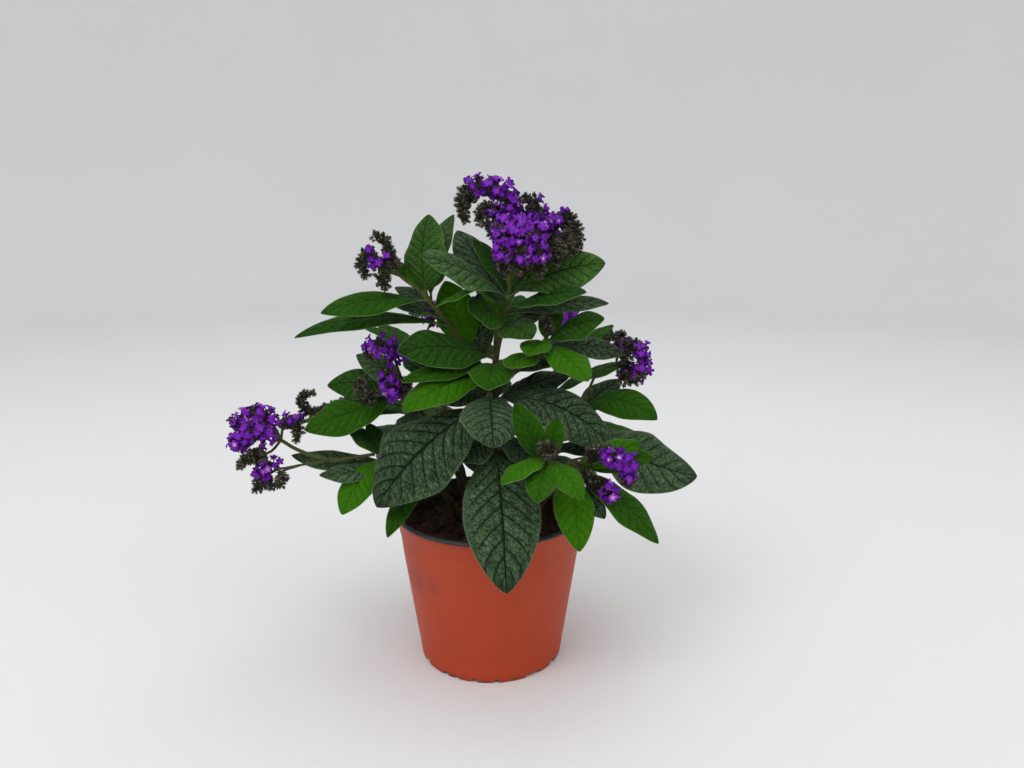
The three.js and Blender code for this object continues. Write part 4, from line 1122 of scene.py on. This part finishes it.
def bud_sprig(length, girth, splay):
    """Closed floret: an egg-shaped bud held by five pointed hairy sepals."""
    bm = bmesh.new()
    reach_mark, _, _ = values_of(bm, "reach", "chance", "green")
    egg = bmesh.ops.create_icosphere(bm, subdivisions=1, radius=1.0)["verts"]
    for vert in egg:
        vert[reach_mark] = 1.1 if vert.co.z > -0.2 else 0.2
        slim = girth * (1.0 - 0.55 * max(0.0, vert.co.z))
        vert.co = Vector((vert.co.x * slim, vert.co.y * slim, (vert.co.z * 0.5 + 0.5) * length)) * MM
    for face in bm.faces:
        face.smooth = True
    for sepal in range(5):
        out = compass(math.tau * sepal / 5)
        side = UP.cross(out)
        shape = [(0.3, 0.0, 0.05, 0.0), (0.92, 0.42, 0.36, 0.35), (0.92, -0.42, 0.36, 0.35),
                 (1.2, 0.0, 0.36, 0.45), (splay, 0.0, 1.05 - 0.12 * splay, 0.85)]
        made = []
        for far, beside, high, reach in shape:
            place = out * girth * far + side * girth * beside + UP * length * high
            made.append(bm.verts.new(place * MM))
            made[-1][reach_mark] = reach
        foot, left, right, outer, point = made
        for corners in ((foot, left, outer), (foot, outer, right), (foot, right, left),
                        (left, point, outer), (outer, point, right), (right, point, left)):
            bm.faces.new(corners)
    for face in bm.faces:
        face.material_index = BUD_SKIN
    return Sprig(bm)


class Cyme:
    """One coiled flower branch, with the side that its florets stand on."""

    def __init__(self, points, opening, core):
        self.route = Route(points)
        self.bare = core is None
        self.core = core or 0.0
        self.opens, self.shuts = opening or (BUDS_BEGIN, BUDS_BEGIN)
        self.heart = sum(self.route.points[1:], Vector()) / (len(points) - 1)

    def frame(self, length_share):
        share = self.route.even(length_share)
        centre, along = self.route.at(share), self.route.heading(share)
        outer = (centre - self.heart).normalized() + Vector((0.0, -0.1, 0.35))
        outer = (outer - outer.dot(along) * along).normalized()
        return centre, along, outer, along.cross(outer)

    def girth(self, length_share):
        if self.bare:
            return MAIN_STALK_RADIUS
        if length_share < self.opens:
            return STALK_RADIUS
        if length_share <= self.shuts:
            return self.core
        return lerp(self.core, CURL_RADIUS, (length_share - self.shuts) / (1 - self.shuts))


def flower_head(name, branches, florets, buds, materials):
    chance = random.Random("head " + name)
    bm = bmesh.new()
    marks = values_of(bm, "reach", "chance", "green")
    for points, opening, core in branches:
        cyme = Cyme(points, opening, core)
        set_stalk(bm, cyme, *marks)
        if not cyme.bare:
            set_core(bm, cyme, *marks)
            set_florets(bm, cyme, florets, buds, chance)
            set_buds(bm, cyme, buds, chance)
        set_hairs(bm, cyme, chance)
    finished_piece(name.replace("head", "blossom"), bm, [name], materials)


def set_stalk(bm, cyme, reach_mark, chance_mark, green_mark):
    steps = max(6, int(cyme.route.length / MM / 3))
    stations, greens = [], []
    for step in range(steps + 1):
        share = step / steps
        centre, along, _, _ = cyme.frame(share)
        radius = MAIN_STALK_RADIUS * 0.85 if cyme.bare else lerp(STALK_RADIUS, STALK_TIP_RADIUS, share)
        stations.append((centre, along, radius * MM))
        greens.append(STALK_GREEN if cyme.bare else lerp(STALK_GREEN, 0.6, share))
    tube(bm, stations, STALK_SIDES, {green_mark: greens, reach_mark: [0.0] * len(greens),
                                     chance_mark: [0.5] * len(greens)}, STEM_SKIN)


def set_core(bm, cyme, reach_mark, chance_mark, _):
    """The dark crowded middle that the outer florets and buds stand on."""
    steps = max(5, int((1 - cyme.opens) * cyme.route.length / MM / 2.5))
    stations = []
    for step in range(steps + 1):
        share = lerp(cyme.opens, 1.0, step / steps)
        centre, along, _, _ = cyme.frame(share)
        end = math.sin(math.pi * clamp(0.1 + 0.8 * step / steps)) ** 0.35
        stations.append((centre, along, max(0.5, cyme.girth(max(share, cyme.opens)) * 0.8 * end) * MM))
    tube(bm, stations, STALK_SIDES, {reach_mark: [0.2] * len(stations), chance_mark: [0.3] * len(stations)},
         BUD_SKIN)


def set_florets(bm, cyme, florets, buds, chance):
    """Rows of open florets over the outer side, a few of them still tufts of buds."""
    span = (cyme.shuts - cyme.opens) * cyme.route.length / MM
    if span <= 0:
        return
    rows = max(1, round(span / FLORET_PITCH))
    rim = cyme.core * FLAT_SIDE + FLORET_HEIGHT
    ranks = max(4, round(math.radians(FLORET_ARC) * rim / FLORET_ROOM))
    for row in range(rows + 1):
        share = lerp(cyme.opens, cyme.shuts, row / rows)
        centre, along, outer, third = cyme.frame(share)
        for rank in range(ranks):
            angle = math.radians(FLORET_ARC * ((rank + 0.5 * (row % 2)) / (ranks - 0.5) - 0.5))
            out = swung(outer, third, angle + chance.uniform(-0.25, 0.25))
            lean = out + along * chance.uniform(-0.6, 0.6) + along.cross(out) * chance.uniform(-0.6, 0.6)
            place = centre + out * (rim + chance.uniform(-1.9, 0.6)) * MM
            place += along * chance.uniform(-1.6, 1.6) * MM
            if chance.random() < CLOSED_SHARE:
                set_tuft(bm, place - out * BUD_DROP * MM, lean.normalized(), buds, chance)
            else:
                chance.choice(florets).grow(bm, place, lean.normalized(), (0.8, 1.14), chance)
        inner_buds(bm, cyme, share, buds, chance)


def set_tuft(bm, place, out, buds, chance):
    """A few buds that haven't opened yet, close together."""
    for _ in range(TUFT_BUDS):
        side = Vector([chance.uniform(-1, 1) for _ in range(3)])
        buds[1].grow(bm, place + side * 0.9 * MM, (out + side * 0.5).normalized(), (0.9, 1.2), chance)


def inner_buds(bm, cyme, share, buds, chance):
    centre, along, outer, third = cyme.frame(share)
    for rank in range(4):
        out = swung(outer, third, math.radians(lerp(140, 220, rank / 3)) + chance.uniform(-0.15, 0.15))
        place = centre + out * cyme.core * 0.45 * MM + along * chance.uniform(-1.5, 1.5) * MM
        buds[0].grow(bm, place, out, (0.8, 1.0), chance)


def set_buds(bm, cyme, buds, chance):
    """Rings of buds over the curled end, smaller and more upright towards its tip."""
    span = (1 - cyme.shuts) * cyme.route.length / MM
    rows = max(2, round(span / BUD_PITCH))
    for row in range(rows + 1):
        progress = row / rows
        share = lerp(cyme.shuts, 1.0, progress)
        centre, along, outer, third = cyme.frame(share)
        girth = cyme.girth(max(share, cyme.opens)) * FLAT_SIDE
        scale = lerp(1.4, 1.05, progress)
        knob = 0.7 * math.sin(row * 2.3 + cyme.route.length * 700.0)
        ranks = max(5, round(math.tau * (girth + 1.2) / BUD_ROOM))
        for rank in range(ranks):
            angle = math.tau * (rank + 0.5 * (row % 2)) / ranks
            out = swung(outer, third, angle + chance.uniform(-0.15, 0.15))
            lean = (out + along * (0.25 + 0.9 * progress ** 3) * chance.uniform(0.5, 1.2)).normalized()
            place = centre + out * max(0.0, girth - 0.8 + knob + chance.uniform(-0.7, 0.5)) * MM
            place += along * chance.uniform(-0.7, 0.7) * MM
            bud = buds[chance.choice((0, 0, 1))] if progress < 0.5 else buds[1]
            bud.grow(bm, place, lean, (scale * 0.85, scale * 1.1), chance)


def set_hairs(bm, cyme, chance):
    shown = 1.0 if cyme.bare else cyme.opens
    for _ in range(int(cyme.route.length * shown / MM * STALK_HAIRS)):
        share = chance.uniform(0.0, shown)
        centre, along, outer, third = cyme.frame(share)
        out = swung(outer, third, chance.uniform(0, math.tau))
        root = centre + out * cyme.girth(share * 0.99) * 0.9 * MM
        hair(bm, root, root + (out + 0.3 * along).normalized() * chance.uniform(0.6, 1.2) * MM)


# Pot and peat

def wall_radius(height):
    return lerp(FOOT_RADIUS, WALL_TOP_RADIUS, height / (POT_HEIGHT - BEAD_DROP))


def foot_rise(angle):
    """How far the foot ring is cut up at an angle in degrees, in millimetres."""
    rise = 0.0
    for repeat in range(FOOT_PATTERN_REPEATS):
        start = 360 / FOOT_PATTERN_REPEATS * repeat
        for notch in NOTCH_ANGLES:
            off = math.radians((angle - start - notch + 180) % 360 - 180) * FOOT_RADIUS
            if abs(off) < NOTCH_RADIUS:
                rise = max(rise, math.sqrt(NOTCH_RADIUS ** 2 - off ** 2) + NOTCH_RISE)
        off = math.radians((angle - start - GAP_ANGLE + 180) % 360 - 180) * FOOT_RADIUS
        if abs(off) < GAP_WIDTH / 2:
            rise = max(rise, GAP_HEIGHT)
    return rise


def pot(materials):
    ledge = wall_radius(LEDGE_HEIGHT)
    bead = POT_HEIGHT - BEAD_DROP
    floor_top = FLOOR_RISE + WALL
    outside = [
        (0.0, 0.0), (PAD_RADIUS, 0.0), (PAD_RADIUS + PAD_SLOPE, FLOOR_RISE),
        (FOOT_RADIUS - 2.6, FLOOR_RISE), (FOOT_RADIUS - 2.0, 2.0), (FOOT_RADIUS - 1.8, 0.25),
        (FOOT_RADIUS - 1.5, 0.0), (FOOT_RADIUS - 0.35, 0.0), (FOOT_RADIUS, 0.35),
        (wall_radius(3.0), 3.0), (wall_radius(7.6), 7.6), (wall_radius(8.0) - 0.25, 8.0),
        *[(wall_radius(height), height) for height in (20.0, 40.0, 60.0, 80.0)],
        (ledge - LEDGE_STEP - 0.02, LEDGE_HEIGHT - 0.6), (ledge - LEDGE_STEP, LEDGE_HEIGHT),
        (ledge - 0.1, LEDGE_HEIGHT + 0.45), (ledge + 0.02, LEDGE_HEIGHT + 0.9),
        (WALL_TOP_RADIUS - 0.05, bead - 0.2), (WALL_TOP_RADIUS + 0.7, bead + 0.25),
    ]
    lining = [
        (RIM_RADIUS - 0.25, bead + 0.6), (RIM_RADIUS, bead + 1.3), (RIM_RADIUS - 0.05, POT_HEIGHT - 0.9),
        (RIM_RADIUS - 0.45, POT_HEIGHT - 0.3), (RIM_RADIUS - 1.2, POT_HEIGHT),
        (RIM_RADIUS - 2.3, POT_HEIGHT - 0.1), (WALL_TOP_RADIUS - WALL, POT_HEIGHT - 0.7),
        (ledge - WALL, LEDGE_HEIGHT + 0.9), (ledge - WALL - LEDGE_STEP, LEDGE_HEIGHT),
        (wall_radius(60.0) - WALL, 60.0), (wall_radius(floor_top) - WALL, floor_top),
        (PAD_RADIUS + PAD_SLOPE + 0.6, floor_top), (PAD_RADIUS + 0.6, WALL), (0.0, WALL),
    ]
    bm = bmesh.new()
    turned(bm, outside + lining, POT_SIDES)
    for face in bm.faces:
        middle = face.calc_center_median()
        height, radius = middle.z / MM, math.hypot(middle.x, middle.y) / MM
        lowest = WALL / 2 + 0.2 * (radius > PAD_RADIUS)
        inside = radius < wall_radius(height) - 0.75 * WALL and height > lowest
        floor_under = height <= FLOOR_RISE + 0.05 and radius < FOOT_RADIUS - 1.4
        face.material_index = int(height > bead + 0.45 or (inside and not floor_under))
    for vert in bm.verts:
        radius, height = math.hypot(vert.co.x, vert.co.y) / MM, vert.co.z / MM
        if radius > FOOT_RADIUS - 2.7 and height < 3.4:
            lift = min(foot_rise(math.degrees(math.atan2(vert.co.y, vert.co.x))), HIGHEST_NOTCH)
            vert.co.z = max(height, lift) * MM
    drill_drains(finished_piece("pot_shell", bm, ["pot"], materials))


def drill_drains(piece):
    bm = bmesh.new()
    radius = DRAIN_RADIUS * MM
    for index in range(DRAIN_COUNT):
        place = compass(math.tau * (index + 0.5) / DRAIN_COUNT) * DRAIN_RING + UP * (FLOOR_RISE + WALL / 2)
        bmesh.ops.create_cone(bm, cap_ends=True, segments=DRAIN_SIDES, radius1=radius, radius2=radius,
                              depth=4 * WALL * MM, matrix=Matrix.Translation(place * MM))
    drill = new_object("drill", bm)
    cut = piece.modifiers.new("drains", "BOOLEAN")
    cut.operation = "DIFFERENCE"
    cut.object = drill
    cut.solver = "EXACT"
    bpy.context.view_layer.update()
    whole = piece.evaluated_get(bpy.context.evaluated_depsgraph_get())
    piece.data = bpy.data.meshes.new_from_object(whole)
    piece.modifiers.clear()
    bpy.data.objects.remove(drill)


def soil_height(x, y):
    """Height of the peat's surface in millimetres at a place in millimetres."""
    out = math.hypot(x, y)
    mound = MOUND_HEIGHT * math.exp(-((out / MOUND_RADIUS) ** 2))
    broad = 0.9 * math.sin(0.31 * x + 1.3) * math.cos(0.27 * y) + 0.6 * math.sin(0.71 * x - 0.53 * y)
    place = Vector((x, y, 0.0))
    lumps = sum(height * noise.noise(place * pace) for pace, height in LUMPS)
    return SOIL_LEVEL + mound + 0.6 * broad + lumps


def peat(material):
    chance = random.Random("peat")
    floor_top = FLOOR_RISE + WALL + CLEARANCE
    edge = wall_radius(SOIL_LEVEL - 2) - WALL - 0.45 - LEDGE_STEP
    bm = bmesh.new()
    (chance_mark,) = values_of(bm, "chance")
    profile = [(0.0, WALL + CLEARANCE), (PAD_RADIUS, WALL + CLEARANCE), (PAD_RADIUS + PAD_SLOPE, floor_top),
               (wall_radius(floor_top) - WALL - 0.6, floor_top), (wall_radius(50) - WALL - 0.6, 50.0),
               (edge, SOIL_LEVEL - 3.0)]
    profile += [(edge * (1 - (ring / PEAT_RINGS) ** 1.1), SOIL_LEVEL) for ring in range(PEAT_RINGS + 1)]
    turned(bm, profile, PEAT_SIDES)
    for vert in bm.verts:
        if vert.co.z > (SOIL_LEVEL - 0.5) * MM:
            vert.co.z = soil_height(vert.co.x / MM, vert.co.y / MM) * MM
    for index in range(CRUMBS):
        set_crumb(bm, index, edge - 2.2, chance, chance_mark)
    for _ in range(FIBRES):
        set_fibre(bm, edge - 8, chance, chance_mark)
    finished_piece("peat_fill", bm, ["soil"], [material])


def set_crumb(bm, index, farthest, chance, chance_mark):
    reach = math.sqrt(chance.random()) * farthest
    spot = compass(chance.uniform(0, math.tau)) * reach
    size = 0.5 + 1.7 * chance.random() ** 2.2
    place = Vector((spot.x, spot.y, soil_height(spot.x, spot.y) + size * 0.1)) * MM
    turn = Quaternion([chance.uniform(-1, 1) for _ in range(4)]).normalized()
    scale = Vector((size * chance.uniform(0.7, 1.3), size * chance.uniform(0.7, 1.3), size * 0.7)) * MM
    made = bmesh.ops.create_icosphere(bm, subdivisions=1 if size < 1.2 else 2, radius=1.0)["verts"]
    tint = chance.random() ** 2
    matrix = Matrix.LocRotScale(place, turn, scale)
    for vert in made:
        knock = 1.0 + 0.5 * noise.noise(vert.co * 1.7 + Vector((index, 0, 0)))
        vert.co = matrix @ (vert.co * knock)
        vert[chance_mark] = tint


def set_fibre(bm, farthest, chance, chance_mark):
    reach = math.sqrt(chance.random()) * farthest
    start = compass(chance.uniform(0, math.tau)) * reach
    way = compass(chance.uniform(0, math.tau))
    length = chance.uniform(3, 8)
    stations = []
    for step in range(5):
        bend = 0.5 * math.sin(step * 1.3 + reach)
        spot = start + way * length * step / 4 + Vector((-bend, bend, 0.0))
        spot.z = soil_height(spot.x, spot.y) + 0.5 + 0.3 * math.sin(step * 1.7)
        stations.append((spot * MM, way, FIBRE_RADIUS * MM))
    tube(bm, stations, 5, {chance_mark: [1.0] * 5})


# Studio

def set_camera():
    data = bpy.data.cameras.new("view")
    data.sensor_width = SENSOR_WIDTH
    data.lens = FOCAL_PIXELS / PICTURE_WIDTH * SENSOR_WIDTH
    data.clip_start = 0.01
    camera = bpy.data.objects.new("view", data)
    camera.location = Vector(CAMERA_PLACE) * MM
    camera.rotation_euler = (math.radians(90 - CAMERA_PITCH), 0.0, 0.0)
    bpy.context.scene.collection.objects.link(camera)
    bpy.context.scene.camera = camera


def studio_floor(material):
    """Round floor whose far edge sweeps up all round."""
    profile = [(0.0, 0.0), (FLOOR_RADIUS, 0.0)]
    for step in range(1, SWEEP_STEPS + 1):
        angle = math.radians(90 * step / SWEEP_STEPS)
        out, rise = math.sin(angle), 1 - math.cos(angle)
        profile.append((FLOOR_RADIUS + SWEEP_RADIUS * out, SWEEP_RADIUS * rise))
    profile.append((FLOOR_RADIUS + SWEEP_RADIUS, BACKDROP_TOP))
    bm = bmesh.new()
    turned(bm, profile, FLOOR_SIDES)
    if sum(face.normal.z * face.calc_area() for face in bm.faces) < 0:
        bmesh.ops.reverse_faces(bm, faces=bm.faces[:])
    floor = new_object("floor", bm, [material])


def soft_light(name, place, size, power):
    data = bpy.data.lights.new(name, "AREA")
    data.shape = "DISK"
    data.size = size
    data.energy = power
    lamp = bpy.data.objects.new(name, data)
    lamp.location = place
    lamp.rotation_euler = (LIT_HEART - Vector(place)).to_track_quat("-Z", "Y").to_euler()
    bpy.context.scene.collection.objects.link(lamp)


def set_lights():
    world = bpy.data.worlds.new("studio")
    bpy.context.scene.world = world
    world.use_nodes = True
    sky = world.node_tree.nodes["Background"]
    sky.inputs["Color"].default_value = (0.95, 0.97, 1.0, 1.0)
    sky.inputs["Strength"].default_value = 0.78
    soft_light("key", (-0.9, -1.1, 1.7), 1.3, 13.0)
    soft_light("fill", (1.3, -0.8, 1.1), 1.4, 4.0)
    soft_light("top", (0.2, 0.5, 1.9), 1.2, 5.0)
    bpy.context.scene.view_settings.view_transform = "Standard"


set_camera()
studio_floor(studio_finish())
set_lights()

pot([pot_finish(), pot_lining_finish()])
peat(peat_finish())

stem_skin = stem_finish()
hair_skin = hair_finish()
foliage = [leaf_finish("leaf_top", TOP_GREENS, False), leaf_finish("leaf_under", UNDER_GREENS, True),
           stem_skin, hair_skin]
for stem_name in STEM_ROUTES:
    leafy_stem(stem_name, foliage)

blossom = [petal_finish(), bud_finish(), stem_skin, hair_skin]
petal_chance = random.Random("petals")
open_sprigs = [floret_sprig(spread, cup, petal_chance) for spread, cup in FLORET_SHAPES]
closed_sprigs = [bud_sprig(*shape) for shape in BUD_SHAPES]
for head_name, branch_rows in HEADS.items():
    flower_head(head_name, branch_rows, open_sprigs, closed_sprigs, blossom)
for sprig in open_sprigs + closed_sprigs:
    bpy.data.meshes.remove(sprig.mesh)
